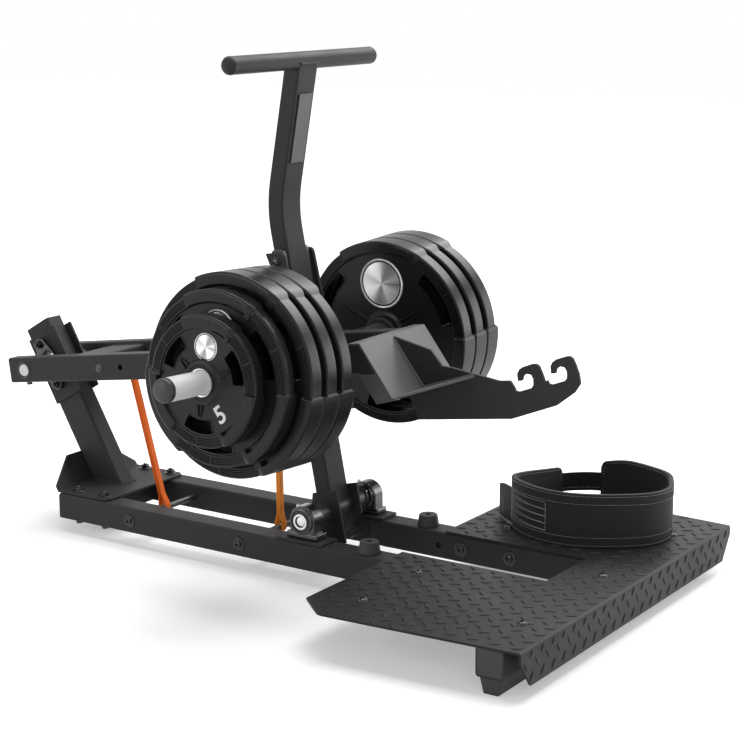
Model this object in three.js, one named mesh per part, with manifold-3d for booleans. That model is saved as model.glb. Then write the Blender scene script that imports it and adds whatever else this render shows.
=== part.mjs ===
import * as THREE from 'three';
import { mergeVertices } from 'three/addons/utils/BufferGeometryUtils.js';
import Module from 'manifold-3d';

// Belt squat machine with a loaded lever arm. Lengths are millimetres.
// +X runs forward to the standing platform, +Z is up, and the near side is -Y.

const wasm = await Module();
wasm.setup();

// Air between pieces that touch, running clearance of round pieces, and how far a cut runs past
const fit = 0.3;
const running = 0.45;
const overrun = 30;
const roundSteps = 16;
const pegSteps = 12;
const plateSteps = 20;
const arcSteps = 3;

// Base frame
const footHeight = 33;
const footTaper = 9;
const frameTube = 60;
const tubeWall = 3;
const railInnerY = 86.5;
const railLength = 1333;
const railHoleX = 911;
const railHoleDiameter = 14;
const rearTubeX = 30;
const rearFootLength = 100;
const crossTubeSetback = 6;
const frontFootSetback = 5;
const frontFootInset = 5;

// Base plate with its bent-up rear flange
const plateThickness = 6;
const basePlateFront = 146;
const basePlateHalfWidth = 140;
const basePlateCorner = 12;
const flangeRise = 65;
const flangeTopHalfWidth = 64;
const flangeUprightRise = 8;

// Leaning rear post that carries the arm
const postLean = THREE.MathUtils.degToRad(30);
const postDepth = 80;
const postWidth = 50;
const postLength = 420;
const postFootX = 41;
const pivotUpPost = 316.8;
const bearingPlateLength = 170;
const bearingPlateWidth = 96;
const bearingPlateSetback = 26;

// Pivot shaft and its two flange bearings
const shaftDiameter = 30;
const shaftProud = 2;
const flangeBearingBolt = 53;
const flangeBearingRadius = 33;
const flangeBearingEar = 14;
const flangeBearingBase = 12;
const flangeBearingHeight = 24;
const flangeBearingBoss = 27;

// Lever arm: two side tubes, their cross members and the band pegs
const armPitch = THREE.MathUtils.degToRad(8);
const armInnerY = 85;
const armTubeWidth = 40;
const armTubeHeight = 60;
const armRear = 47;
const rearMemberU = 95;
const rearMemberLength = 105;
const memberDrop = 8;
const middleBeamU = 682;
const middleBeamDepth = 34;
const pegDiameter = 14;
const pegWasherDiameter = 30;
const pegWasherThickness = 3;
const armPegHeadDiameter = 22;
const armPegHeadRise = 5;
const basePegRearX = 219;
const basePegFrontX = 538;
const armPegRearU = 243.5;
const armPegFrontSetback = 23.5;
const armHoleU = 307.6;
const armHoleDiameter = 13;

// Weight horns
const hornLead = 130;
const hornTilt = THREE.MathUtils.degToRad(2.75);
const hornTubeDiameter = 60;
const hornTubeLength = 70;
const collarDiameter = 80;
const collarThickness = 12;
const coreDiameter = 38;
const sleeveDiameter = 49;
const sleeveLength = 338;
const hornCapDiameter = 50;
const hornCapLength = 18;

// Weight plates: diameter, thickness and hub diameter, then the turn of each size on its horn in degrees
const plateBore = 51.6;
const largePlate = { diameter: 428, thickness: 52, hub: 98 };
const middlePlate = { diameter: 366, thickness: 40, hub: 92 };
const smallPlate = { diameter: 273, thickness: 40, hub: 92 };
const largeCount = 3;
const nearPhases = { large: 14, middle: 11, small: 14 };
const farPhases = { large: 5, middle: 11, small: 14 };
const rimBand = 28;
const slotToRim = 4;
const slotWidth = 28;
const webRecessShare = 0.2;
const ribbedInsetShare = 0.07;
const ribbedRadiusShare = 0.982;
const thickSpan = THREE.MathUtils.degToRad(62);
const slotSpan = THREE.MathUtils.degToRad(42);

// Front bracket: a ledge on the arm, a sloping web, a shelf and two side legs
const bracketSheet = 5;
const bracketLedge = 28.5;
const webTopU = 984;
const webBottomU = 1046.5;
const webBottomW = -81;
const shelfTipU = 1176;
const shelfTipW = -57;
const legDepth = 41.7;
const legForward = 18;
const legDroop = 3.5;
const legHeel = 13;

// Hook plate in the arm's middle plane, with hooks at one pitch; the shares are of that pitch
const hookSheet = 8;
const hookRearU = 1024;
const hookRearTopU = 1010;
const hookRearTopW = -100;
const hookBottomW = -151;
const hookBottomFrontU = 1252;
const gussetReach = 91;
const gussetDrop = 32;
const gussetStep = 23;
const gussetStepDrop = 35;
const gussetToe = 54;
const gussetToeRise = 16;
const hookCount = 2;
const hookPitch = 79;
const hookRise = 13.5;
const hookStartU = 1266;
const hookFloorW = -94.5;
const hookLip = 34;
const hookLipRise = 23.5;
const hookNoseBack = 5;
const hookChin = 30;
const hookShares = [
  [0.00, 0.12], [0.03, 0.03], [0.12, 0.00], [0.50, 0.09], [0.575, 0.17], [0.59, 0.33], [0.54, 0.435],
  [0.40, 0.465], [0.30, 0.40], [0.26, 0.285], [0.13, 0.285], [0.13, 0.47], [0.20, 0.58], [0.32, 0.65],
  [0.62, 0.72], [0.72, 0.72], [0.80, 0.66], [0.86, 0.50], [0.93, 0.24],
];

// Release lever, its shaft and pillow blocks
const leverX = 702;
const leverHeight = 106;
const leverWidth = 70;
const leverDepth = 40;
const leverFootX = 694.3;
const leverBendX = 563.2;
const leverBendHeight = 765;
const leverBendReach = 55;
const leverTopX = 618.8;
const leverNotchShare = 0.32;
const handleX = 622.9;
const handleHeight = 1079.3;
const handleDiameter = 38;
const handleLength = 525;
const handleDome = 8;
const hubDiameter = 40;
const leverShaftDiameter = 25;
const leverShaftProud = 2;
const cheekSheet = 6;
const cheekDrop = 76;
const nearCheekShares = [[-0.51, 0.45], [0.34, 0.66], [0.66, -0.87], [-0.105, -1], [-0.53, 0.08]];
const farCheekShares = [[-0.62, 0.08], [-0.51, 0.45], [0.34, 0.66], [0.53, -0.24], [0.13, -0.45]];
const tailWidth = 25;
const tailSlantShare = 0.16;
const stopPinDiameter = 22;
const stopPinX = 704;
const stopPinHeight = 33;
const stopPinInnerY = 31;
const stopFlangeDiameter = 45;
const stopFlangeThickness = 4;
const pillowPadLength = 122;
const pillowWidth = 38;
const pillowBase = 82;
const pillowBaseHeight = 14;
const pillowArch = 33;
const badgeBottom = 865;
const badgeTop = 1013;
const badgeWidth = 46;
const badgeSheet = 2.5;

// Guide cheeks with wear pads, catch roller and catch block
const guideInnerY = 48;
const guideSheet = 8;
const padSheet = 11.4;
const guideTopW = 228.5;
const guideFrontU = 778;
const guideRearU = 712;
const guideBoltSwellU = 721;
const guideCorner = 14;
const guideLobe = 32;
const padRise = 7;
const padInset = 8;
const padBottomW = 62;
const rollerU = 712;
const rollerW = -46;
const rollerDiameter = 24;
const rollerAxle = 12;
const rollerHalfLength = 35;
const catchWidth = 44;
const catchReach = THREE.MathUtils.degToRad(7);
const catchNose = 14;
const catchDrop = 72;

// Rubber bumpers on the rails
const bumperX = 866;
const bumperBase = 48;
const bumperTop = 40;
const bumperHeight = 26;

// Standing platform and its outriggers
const platformSheet = 5;
const platformRear = 930;
const platformRearHalf = 432;
const platformWideX = 993;
const platformWideHalf = 487;
const platformHipX = 1006;
const platformHipHalf = 492;
const platformFront = 1432.5;
const platformFrontHalf = 466;
const openingFront = 1275;
const flangeDrop = 73;
const flangeChamfer = 37;
const flangeChamferRise = 20;
const outriggerX = 1032;
const outriggerWidth = 50;
const outriggerDepth = 30;
const outriggerSetback = 50;
const outriggerPlateLength = 160;
const outriggerPlateHeight = 50;
const outriggerPlateSheet = 6;

// Elastic bands
const bandWidth = 22;
const bandThickness = 4.5;
const rearBandY = -20;
const frontBandY = 8;

// Squat belt lying on the far wing of the platform
const beltThickness = 9;
const beltGapReach = 27;
const beltFrontHeight = 118;
const beltRearHeight = 86;
const beltStrapBottom = 40;
const beltStrapTop = 70;
const beltLeft = 1024;
const beltRight = 1374;
const beltNear = 136;
const beltFar = 462;
const beltSteps = 40;
const beltRightShare = 0.8;
const beltRouteShares = [
  [0.02, 0.22], [0.14, 0.09], [0.31, 0.01], [0.50, 0.00], [0.70, 0.08], [0.90, 0.23], [0.985, 0.38], [1.00, 0.54],
  [0.91, 0.72], [0.77, 0.86], [0.62, 0.94], [0.44, 1.00], [0.27, 0.98], [0.15, 0.91], [0.065, 0.81],
  [0.02, 0.63], [0.00, 0.42],
];
const beltGapShares = [[0.065, 0.82], [0.27, 0.985]];
const beltTabShares = [[0.04, 0.20], [-0.17, 0.375]];
const beltTabLength = 82;
const beltTabHeight = 58;
const beltTabRaise = 3;

// Colours as named finishes
const powderCoat = new THREE.MeshStandardMaterial({ color: 0x34363a, roughness: 0.5, metalness: 0.35 });
const glossBlack = new THREE.MeshStandardMaterial({ color: 0x0b0b0c, roughness: 0.15, metalness: 0.4 });
const rubberBlack = new THREE.MeshStandardMaterial({ color: 0x17181a, roughness: 0.7, metalness: 0 });
const plasticBlack = new THREE.MeshStandardMaterial({ color: 0x1d1e20, roughness: 0.45, metalness: 0 });
const brushedSteel = new THREE.MeshStandardMaterial({ color: 0xb9babb, roughness: 0.32, metalness: 1 });
const bandOrange = new THREE.MeshStandardMaterial({ color: 0xf07a1c, roughness: 0.55, metalness: 0 });
const bandYellow = new THREE.MeshStandardMaterial({ color: 0xf7a52c, roughness: 0.55, metalness: 0 });
const webbingBlack = new THREE.MeshStandardMaterial({ color: 0x1b1b1d, roughness: 0.9, metalness: 0 });

// Solid modelling: a closed geometry becomes a solid whose faces point outwards
function toSolid(geometry) {
  const bare = geometry.index ? geometry.toNonIndexed() : geometry.clone();
  bare.deleteAttribute('normal');
  bare.deleteAttribute('uv');
  const merged = mergeVertices(bare);
  const corners = merged.attributes.position.array;
  const index = merged.index.array;
  const triangles = [];
  let volume = 0;
  const a = new THREE.Vector3();
  const b = new THREE.Vector3();
  const c = new THREE.Vector3();
  for (let i = 0; i < index.length; i += 3) {
    const [p, q, r] = [index[i], index[i + 1], index[i + 2]];
    if (p === q || q === r || r === p) continue;
    triangles.push([p, q, r]);
    a.fromArray(corners, 3 * p);
    b.fromArray(corners, 3 * q);
    c.fromArray(corners, 3 * r);
    volume += a.dot(b.cross(c));
  }
  const outward = volume > 0 ? triangles : triangles.map(([p, q, r]) => [p, r, q]);
  return new wasm.Manifold(new wasm.Mesh({
    numProp: 3,
    vertProperties: new Float32Array(corners),
    triVerts: new Uint32Array(outward.flat()),
  }));
}

function toGeometry(solid) {
  const mesh = solid.getMesh();
  const geometry = new THREE.BufferGeometry();
  geometry.setAttribute('position', new THREE.BufferAttribute(new Float32Array(mesh.vertProperties), 3));
  geometry.setIndex(new THREE.BufferAttribute(new Uint32Array(mesh.triVerts), 1));
  return geometry;
}

const join = (...solids) => solids.reduce((whole, piece) => whole.add(piece));
const cut = (solid, ...tools) => tools.reduce((rest, tool) => rest.subtract(tool), solid);

function block([x0, x1], [y0, y1], [z0, z1]) {
  const geometry = new THREE.BoxGeometry(Math.abs(x1 - x0), Math.abs(y1 - y0), Math.abs(z1 - z0));
  geometry.translate((x0 + x1) / 2, (y0 + y1) / 2, (z0 + z1) / 2);
  return toSolid(geometry);
}

// An outline in x and z, pushed across from one y to another
function across(outline, [y0, y1]) {
  const shape = outline instanceof THREE.Shape ? outline : outlineShape(outline);
  const depth = Math.abs(y1 - y0);
  const geometry = new THREE.ExtrudeGeometry(shape, { depth, bevelEnabled: false, curveSegments: arcSteps });
  geometry.rotateX(Math.PI / 2);
  geometry.translate(0, Math.max(y0, y1), 0);
  return toSolid(geometry);
}

// An outline in x and y, pushed up from one z to another
function upward(outline, [z0, z1]) {
  const shape = outline instanceof THREE.Shape ? outline : outlineShape(outline);
  const geometry = new THREE.ExtrudeGeometry(shape, { depth: z1 - z0, bevelEnabled: false, curveSegments: arcSteps });
  geometry.translate(0, 0, z0);
  return toSolid(geometry);
}

// An outline in y and z, pushed forward from one x to another
function forward(outline, [x0, x1]) {
  const geometry = new THREE.ExtrudeGeometry(outlineShape(outline), { depth: x1 - x0, bevelEnabled: false });
  geometry.rotateX(Math.PI / 2);
  geometry.rotateZ(Math.PI / 2);
  geometry.translate(x0, 0, 0);
  return toSolid(geometry);
}

function outlineShape(points) {
  return new THREE.Shape(points.map(([u, v]) => new THREE.Vector2(u, v)));
}

function rodAcross(x, z, diameter, [y0, y1], steps = roundSteps) {
  const geometry = new THREE.CylinderGeometry(diameter / 2, diameter / 2, Math.abs(y1 - y0), steps);
  geometry.translate(x, (y0 + y1) / 2, z);
  return toSolid(geometry);
}

// A turned piece on the y axis, from [radius, distance] pairs
function turned(profile, steps = roundSteps) {
  const points = profile.map(([radius, distance]) => new THREE.Vector2(radius, distance));
  return toSolid(new THREE.LatheGeometry(points, steps));
}

// The outline of a bent strip that runs along a centre line
function strip(centre, halfDepth) {
  const left = [];
  const right = [];
  centre.forEach((point, i) => {
    const before = centre[Math.max(i - 1, 0)];
    const after = centre[Math.min(i + 1, centre.length - 1)];
    const into = new THREE.Vector2().subVectors(point, before).normalize();
    const out = new THREE.Vector2().subVectors(after, point).normalize();
    const along = new THREE.Vector2().addVectors(into, out).normalize();
    const reach = halfDepth / Math.max(along.dot(into.lengthSq() ? into : out), 0.5);
    left.push([point.x - along.y * reach, point.y + along.x * reach]);
    right.push([point.x + along.y * reach, point.y - along.x * reach]);
  });
  return [...left, ...right.reverse()];
}

const both = [['near', -1], ['far', 1]];
const spread = (side, inner, outer) => [side * inner, side * outer];
const machine = new THREE.Group();

function place(parent, name, solid, material) {
  const mesh = new THREE.Mesh(toGeometry(solid), material);
  mesh.name = name;
  parent.add(mesh);
  return mesh;
}

// Levels and places that several pieces share
const railOuterY = railInnerY + frameTube;
const railMidY = railInnerY + frameTube / 2;
const railTop = footHeight + frameTube;
const railMid = footHeight + frameTube / 2;
const basePlateTop = railTop + plateThickness;
const up = new THREE.Vector2(-Math.sin(postLean), Math.cos(postLean));
const ahead = new THREE.Vector2(Math.cos(postLean), Math.sin(postLean));
const pivotX = postFootX + up.x * pivotUpPost;
const pivotZ = basePlateTop + up.y * pivotUpPost;
const armOuterY = armInnerY + armTubeWidth;
const armPegFrontU = middleBeamU - armPegFrontSetback;
const hornU = middleBeamU + hornLead;
const crossTubeHalf = platformFrontHalf - crossTubeSetback;
const leverZ = footHeight + leverHeight;

// A point of the leaning post: distance up its axis and ahead of it
function onPost(rise, reach) {
  return [postFootX + up.x * rise + ahead.x * reach, basePlateTop + up.y * rise + ahead.y * reach];
}

// A point of the arm: u along it from the pivot, w above it
function onArm(u, w) {
  const [cos, sin] = [Math.cos(armPitch), Math.sin(armPitch)];
  return [pivotX + u * cos - w * sin, pivotZ + u * sin + w * cos];
}

// Two rails of square tube, each with the pad that its pillow block stands on
for (const [name, side] of both) {
  const skin = block([0, railLength - fit], spread(side, railInnerY, railOuterY), [footHeight, railTop]);
  const hollow = block(
    [-overrun, railLength + overrun],
    spread(side, railInnerY + tubeWall, railOuterY - tubeWall),
    [footHeight + tubeWall, railTop - tubeWall],
  );
  const pad = block(
    [leverX - pillowPadLength / 2, leverX + pillowPadLength / 2],
    spread(side, railInnerY, railOuterY),
    [railTop - tubeWall / 2, railTop + plateThickness],
  );
  const through = spread(side, railInnerY - overrun, railOuterY + overrun);
  const pegBores = [basePegRearX, basePegFrontX].map(
    (x) => rodAcross(x, railMid, pegDiameter + 2 * running, through, pegSteps),
  );
  const innerHole = rodAcross(railHoleX, railMid, railHoleDiameter, spread(side, 0, railMidY));
  place(machine, `rail_${name}`, join(cut(skin, hollow, ...pegBores, innerHole), pad), powderCoat);
}

// Base plate with a bent-up rear flange that backs the post
{
  const reach = postDepth / 2 + fit;
  const rear = onPost(reach * Math.tan(postLean), -reach);
  const flangeTop = onPost(reach * Math.tan(postLean) + flangeRise / up.y, -reach);
  const bend = plateThickness * Math.tan(Math.PI / 4 - postLean / 2);
  const profile = [
    [basePlateFront, railTop + fit],
    [rear[0] - bend, railTop + fit],
    [flangeTop[0] - plateThickness * ahead.x, flangeTop[1] - plateThickness * ahead.y],
    flangeTop,
    [rear[0], basePlateTop],
    [basePlateFront, basePlateTop],
  ];
  const corner = basePlateCorner;
  const bent = across(profile, [-basePlateHalfWidth, basePlateHalfWidth]);
  const trims = both.map(([, side]) => {
    const shoulder = basePlateTop + flangeUprightRise;
    const outline = [
      [side * basePlateHalfWidth, shoulder],
      [side * flangeTopHalfWidth, flangeTop[1]],
      [side * flangeTopHalfWidth, flangeTop[1] + overrun],
      [side * (basePlateHalfWidth + overrun), flangeTop[1] + overrun],
      [side * (basePlateHalfWidth + overrun), shoulder],
    ];
    return forward(outline, [flangeTop[0] - overrun, rear[0] + overrun]);
  });
  const corners = both.map(([, side]) => upward([
    [basePlateFront - corner, side * basePlateHalfWidth],
    [basePlateFront, side * (basePlateHalfWidth - corner)],
    [basePlateFront + overrun, side * (basePlateHalfWidth - corner)],
    [basePlateFront + overrun, side * (basePlateHalfWidth + overrun)],
    [basePlateFront - corner, side * (basePlateHalfWidth + overrun)],
  ], [railTop - overrun, basePlateTop + overrun]));
  place(machine, 'base_plate', cut(bent, ...trims, ...corners), powderCoat);
}

// Leaning post: a rectangular tube closed at its top, with a bearing plate welded on each side
{
  const half = postDepth / 2;
  const outer = across([
    onPost(-postDepth, -half), onPost(-postDepth, half), onPost(postLength, half), onPost(postLength, -half),
  ], [-postWidth / 2, postWidth / 2]);
  const inside = half - tubeWall;
  const hollow = across([
    onPost(-postDepth - overrun, -inside), onPost(-postDepth - overrun, inside),
    onPost(postLength - tubeWall, inside), onPost(postLength - tubeWall, -inside),
  ], [-postWidth / 2 + tubeWall, postWidth / 2 - tubeWall]);
  const floor = block([-railLength, railLength], [-postWidth, postWidth], [0, basePlateTop + fit]);
  const plateTop = postLength - bearingPlateSetback;
  const plates = both.map(([, side]) => across([
    onPost(plateTop - bearingPlateLength, -half), onPost(plateTop - bearingPlateLength, bearingPlateWidth - half),
    onPost(plateTop, bearingPlateWidth - half), onPost(plateTop, -half),
  ], spread(side, postWidth / 2 - tubeWall / 2, postWidth / 2 + plateThickness)));
  const bore = rodAcross(pivotX, pivotZ, shaftDiameter + 2 * running, [-postWidth, postWidth]);
  place(machine, 'post', cut(join(cut(outer, hollow, floor), ...plates), hollow, bore), powderCoat);
}

// Two-bolt flange bearings on the post's bearing plates
for (const [name, side] of both) {
  const reach = flangeBearingBolt;
  const lean = Math.acos((flangeBearingRadius - flangeBearingEar) / reach);
  const oval = new THREE.Shape();
  oval.absarc(reach, 0, flangeBearingEar, -lean, lean);
  oval.absarc(0, 0, flangeBearingRadius, lean, Math.PI - lean);
  oval.absarc(-reach, 0, flangeBearingEar, Math.PI - lean, Math.PI + lean);
  oval.absarc(0, 0, flangeBearingRadius, Math.PI + lean, 2 * Math.PI - lean);
  const base = postWidth / 2 + plateThickness + fit;
  const body = join(
    across(oval, spread(side, base, base + flangeBearingBase)),
    rodAcross(0, 0, 2 * flangeBearingBoss, spread(side, base, base + flangeBearingHeight)),
  );
  const bore = rodAcross(0, 0, shaftDiameter + 2 * running, spread(side, 0, armInnerY));
  const bearing = place(machine, `pivot_bearing_${name}`, cut(body, bore), glossBlack);
  bearing.position.set(pivotX, 0, pivotZ);
  bearing.rotation.y = -Math.PI / 2 - postLean;
}

// Cross tubes of the base, and the tapered rubber foot strip under each
function crossTube(name, rearX, halfLength) {
  const skin = block([rearX, rearX + frameTube], [-halfLength, halfLength], [footHeight, railTop]);
  const hollow = block(
    [rearX + tubeWall, rearX + frameTube - tubeWall],
    [-halfLength - overrun, halfLength + overrun],
    [footHeight + tubeWall, railTop - tubeWall],
  );
  place(machine, name, cut(skin, hollow), powderCoat);
}

function footStrip(name, rearX, halfLength) {
  const outline = [
    [rearX + frontFootInset, footHeight - fit],
    [rearX + frontFootInset + footTaper, 0],
    [rearX + frameTube - frontFootInset - footTaper, 0],
    [rearX + frameTube - frontFootInset, footHeight - fit],
  ];
  place(machine, name, across(outline, [-halfLength, halfLength]), rubberBlack);
}

crossTube('rear_cross_tube', rearTubeX, railInnerY - fit);
crossTube('front_cross_tube', railLength, crossTubeHalf);
footStrip('rear_foot', rearTubeX, rearFootLength / 2);
footStrip('front_foot', railLength, crossTubeHalf - frontFootSetback);

// Band pegs through both rails, held by a washer at each end
for (const [name, x] of [['rear', basePegRearX], ['front', basePegFrontX]]) {
  const end = railOuterY + fit;
  const rod = rodAcross(x, railMid, pegDiameter, [-end - pegWasherThickness, end + pegWasherThickness], pegSteps);
  const washers = both.map(
    ([, side]) => rodAcross(x, railMid, pegWasherDiameter, spread(side, end, end + pegWasherThickness)),
  );
  place(machine, `base_band_peg_${name}`, join(rod, ...washers), plasticBlack);
}

// Stop pin on the inside of the far rail, where the lever's far cheek comes to rest
{
  const seat = railInnerY - fit;
  const pin = join(
    rodAcross(stopPinX, footHeight + stopPinHeight, stopPinDiameter, [stopPinInnerY, seat]),
    rodAcross(stopPinX, footHeight + stopPinHeight, stopFlangeDiameter, [seat - stopFlangeThickness, seat]),
  );
  place(machine, 'lever_stop_pin', pin, glossBlack);
}

// Pillow blocks that carry the lever's shaft
for (const [name, side] of both) {
  const foot = railTop + plateThickness + fit;
  const width = spread(side, railMidY - pillowWidth / 2, railMidY + pillowWidth / 2);
  const arch = new THREE.Shape();
  arch.moveTo(leverX + pillowBase / 2, foot);
  arch.lineTo(leverX + pillowBase / 2, foot + pillowBaseHeight);
  arch.lineTo(leverX + pillowArch, foot + pillowBaseHeight);
  arch.lineTo(leverX + pillowArch, leverZ);
  arch.absarc(leverX, leverZ, pillowArch, 0, Math.PI);
  arch.lineTo(leverX - pillowArch, foot + pillowBaseHeight);
  arch.lineTo(leverX - pillowBase / 2, foot + pillowBaseHeight);
  arch.lineTo(leverX - pillowBase / 2, foot);
  const bore = rodAcross(leverX, leverZ, leverShaftDiameter + 2 * running, spread(side, 0, railOuterY));
  place(machine, `pillow_block_${name}`, cut(across(arch, width), bore), glossBlack);
}

// Rubber bumpers on the rails, where the lowered arm lands
for (const [name, side] of both) {
  const bumper = turned([
    [0, 0], [bumperBase / 2, 0], [bumperTop / 2, bumperHeight], [0, bumperHeight],
  ]);
  const mesh = place(machine, `bumper_${name}`, bumper, rubberBlack);
  mesh.position.set(bumperX, side * railMidY, railTop + fit);
  mesh.rotation.x = Math.PI / 2;
}

// Standing platform: one sheet with an opening between the feet and a front flange
{
  const under = railTop + fit;
  const top = under + platformSheet;
  const halfOutline = [
    [platformRear, railInnerY],
    [platformRear, platformRearHalf],
    [platformWideX, platformWideHalf],
    [platformHipX, platformHipHalf],
    [platformFront, platformFrontHalf],
  ];
  const outline = [
    ...halfOutline,
    ...halfOutline.map(([x, y]) => [x, -y]).reverse(),
    [openingFront, -railInnerY],
    [openingFront, railInnerY],
  ];
  const deck = upward(outline, [under, top]);
  const low = top - flangeDrop;
  const flange = forward([
    [-platformFrontHalf, top],
    [platformFrontHalf, top],
    [platformFrontHalf, top - flangeChamferRise],
    [platformFrontHalf - flangeChamfer, low],
    [flangeChamfer - platformFrontHalf, low],
    [-platformFrontHalf, top - flangeChamferRise],
  ], [platformFront - platformSheet, platformFront]);
  place(machine, 'platform', join(deck, flange), powderCoat);
}

// Outriggers bolted to the rails, which carry the platform's wings
for (const [name, side] of both) {
  const seat = railOuterY + fit;
  const shoulder = seat + outriggerPlateSheet;
  const plate = block(
    [outriggerX - outriggerPlateLength / 2, outriggerX + outriggerPlateLength / 2],
    spread(side, seat, shoulder),
    [railMid - outriggerPlateHeight / 2, railMid + outriggerPlateHeight / 2],
  );
  const half = outriggerWidth / 2;
  const end = platformFrontHalf - outriggerSetback;
  const skin = block(
    [outriggerX - half, outriggerX + half],
    spread(side, shoulder - outriggerPlateSheet / 2, end),
    [railTop - outriggerDepth, railTop],
  );
  const hollow = block(
    [outriggerX - half + tubeWall, outriggerX + half - tubeWall],
    spread(side, shoulder, end + overrun),
    [railTop - outriggerDepth + tubeWall, railTop - tubeWall],
  );
  place(machine, `outrigger_${name}`, cut(join(plate, skin), hollow), powderCoat);
}

// The arm turns about the pivot, so its pieces stand in a pitched group
const arm = new THREE.Group();
arm.position.set(pivotX, 0, pivotZ);
arm.rotation.y = -armPitch;
machine.add(arm);

const armHalf = armTubeHeight / 2;
const webSlope = new THREE.Vector2(webBottomU - webTopU, webBottomW - armHalf).normalize();
const webNormal = new THREE.Vector2(-webSlope.y, webSlope.x);

// A point of the sloping web: w gives its height, offset how far ahead of its front face it lies
function onWeb(w, offset) {
  const u = webTopU + (armHalf - w) * (webSlope.x / -webSlope.y);
  return [u + offset / webNormal.x, w];
}

for (const [name, side] of both) {
  const back = -bracketSheet - fit;
  const skin = across([
    [-armRear, -armHalf], onWeb(-armHalf, back), onWeb(armHalf, back), [-armRear, armHalf],
  ], spread(side, armInnerY, armOuterY));
  const hollow = block(
    [-armRear - overrun, webBottomU + overrun],
    spread(side, armInnerY + tubeWall, armOuterY - tubeWall),
    [tubeWall - armHalf, armHalf - tubeWall],
  );
  const through = spread(side, armInnerY - overrun, armOuterY + overrun);
  const bores = [
    rodAcross(0, 0, shaftDiameter + 2 * running, through),
    rodAcross(armPegRearU, 0, pegDiameter + 2 * running, through, pegSteps),
    rodAcross(armPegFrontU, 0, pegDiameter + 2 * running, through, pegSteps),
    rodAcross(armHoleU, 0, armHoleDiameter, spread(side, armInnerY + armTubeWidth / 2, armOuterY + overrun)),
  ];
  place(arm, `arm_tube_${name}`, cut(skin, hollow, ...bores), powderCoat);
}

// Cross members between the arm's side tubes
const memberHalf = armInnerY - fit;
const memberTop = armHalf - memberDrop;
function crossMember(name, rearU, length) {
  const skin = block([rearU, rearU + length], [-memberHalf, memberHalf], [-armHalf, memberTop]);
  const hollow = block(
    [rearU + tubeWall, rearU + length - tubeWall],
    [-armInnerY, armInnerY],
    [tubeWall - armHalf, memberTop - tubeWall],
  );
  place(arm, name, cut(skin, hollow), powderCoat);
}
crossMember('arm_rear_cross_member', rearMemberU, rearMemberLength);
crossMember('arm_middle_beam', middleBeamU, middleBeamDepth);

// Pivot shaft through the bearings, and the two band pegs of the arm
const shaftEnd = armOuterY + shaftProud;
place(arm, 'pivot_shaft', rodAcross(0, 0, shaftDiameter, [-shaftEnd, shaftEnd]), brushedSteel);
for (const [name, u] of [['rear', armPegRearU], ['front', armPegFrontU]]) {
  const head = [
    [0, armOuterY + fit], [armPegHeadDiameter / 2, armOuterY + fit],
    [armPegHeadDiameter / 4, armOuterY + fit + armPegHeadRise], [0, armOuterY + fit + armPegHeadRise],
  ];
  const farHead = turned(head, pegSteps);
  const nearHead = turned(head.map(([radius, y]) => [radius, -y]), pegSteps);
  const rodEnd = armOuterY + 2 * fit;
  const rod = rodAcross(0, 0, pegDiameter, [-rodEnd, rodEnd], pegSteps);
  place(arm, `arm_band_peg_${name}`, join(rod, farHead, nearHead), plasticBlack).position.x = u;
}

// Weight plate: hub, recessed web and rim, with three thick rim segments and three grip slots
function weightPlate({ diameter, thickness, hub }) {
  const rimRadius = diameter / 2;
  const depth = thickness - fit;
  const rimInner = rimRadius - rimBand;
  const slotOuter = rimInner - slotToRim;
  const ribbed = rimRadius * ribbedRadiusShare;
  const recess = depth * webRecessShare;
  const inset = depth * ribbedInsetShare;
  const half = [
    [plateBore / 2, 0], [hub / 2, 0], [hub / 2, recess], [rimInner, recess], [rimInner, inset], [ribbed, inset],
  ];
  const mirrored = half.map(([radius, y]) => [radius, depth - y]).reverse();
  let plate = turned([...half, ...mirrored, half[0]], plateSteps);
  const third = 2 * Math.PI / 3;
  const sector = (inner, outer, middle, span, y0, y1) => {
    const outline = new THREE.Shape();
    outline.absarc(0, 0, outer, middle - span / 2, middle + span / 2, false);
    outline.absarc(0, 0, inner, middle + span / 2, middle - span / 2, true);
    return across(outline, [y0, y1]);
  };
  for (let i = 0; i < 3; i += 1) {
    const top = Math.PI / 2 + i * third;
    plate = plate.add(sector(rimInner - fit, rimRadius, top, thickSpan, 0, depth));
    const slot = sector(slotOuter - slotWidth, slotOuter, top + third / 2, slotSpan, -overrun, depth + overrun);
    plate = plate.subtract(slot);
  }
  return plate;
}

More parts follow.
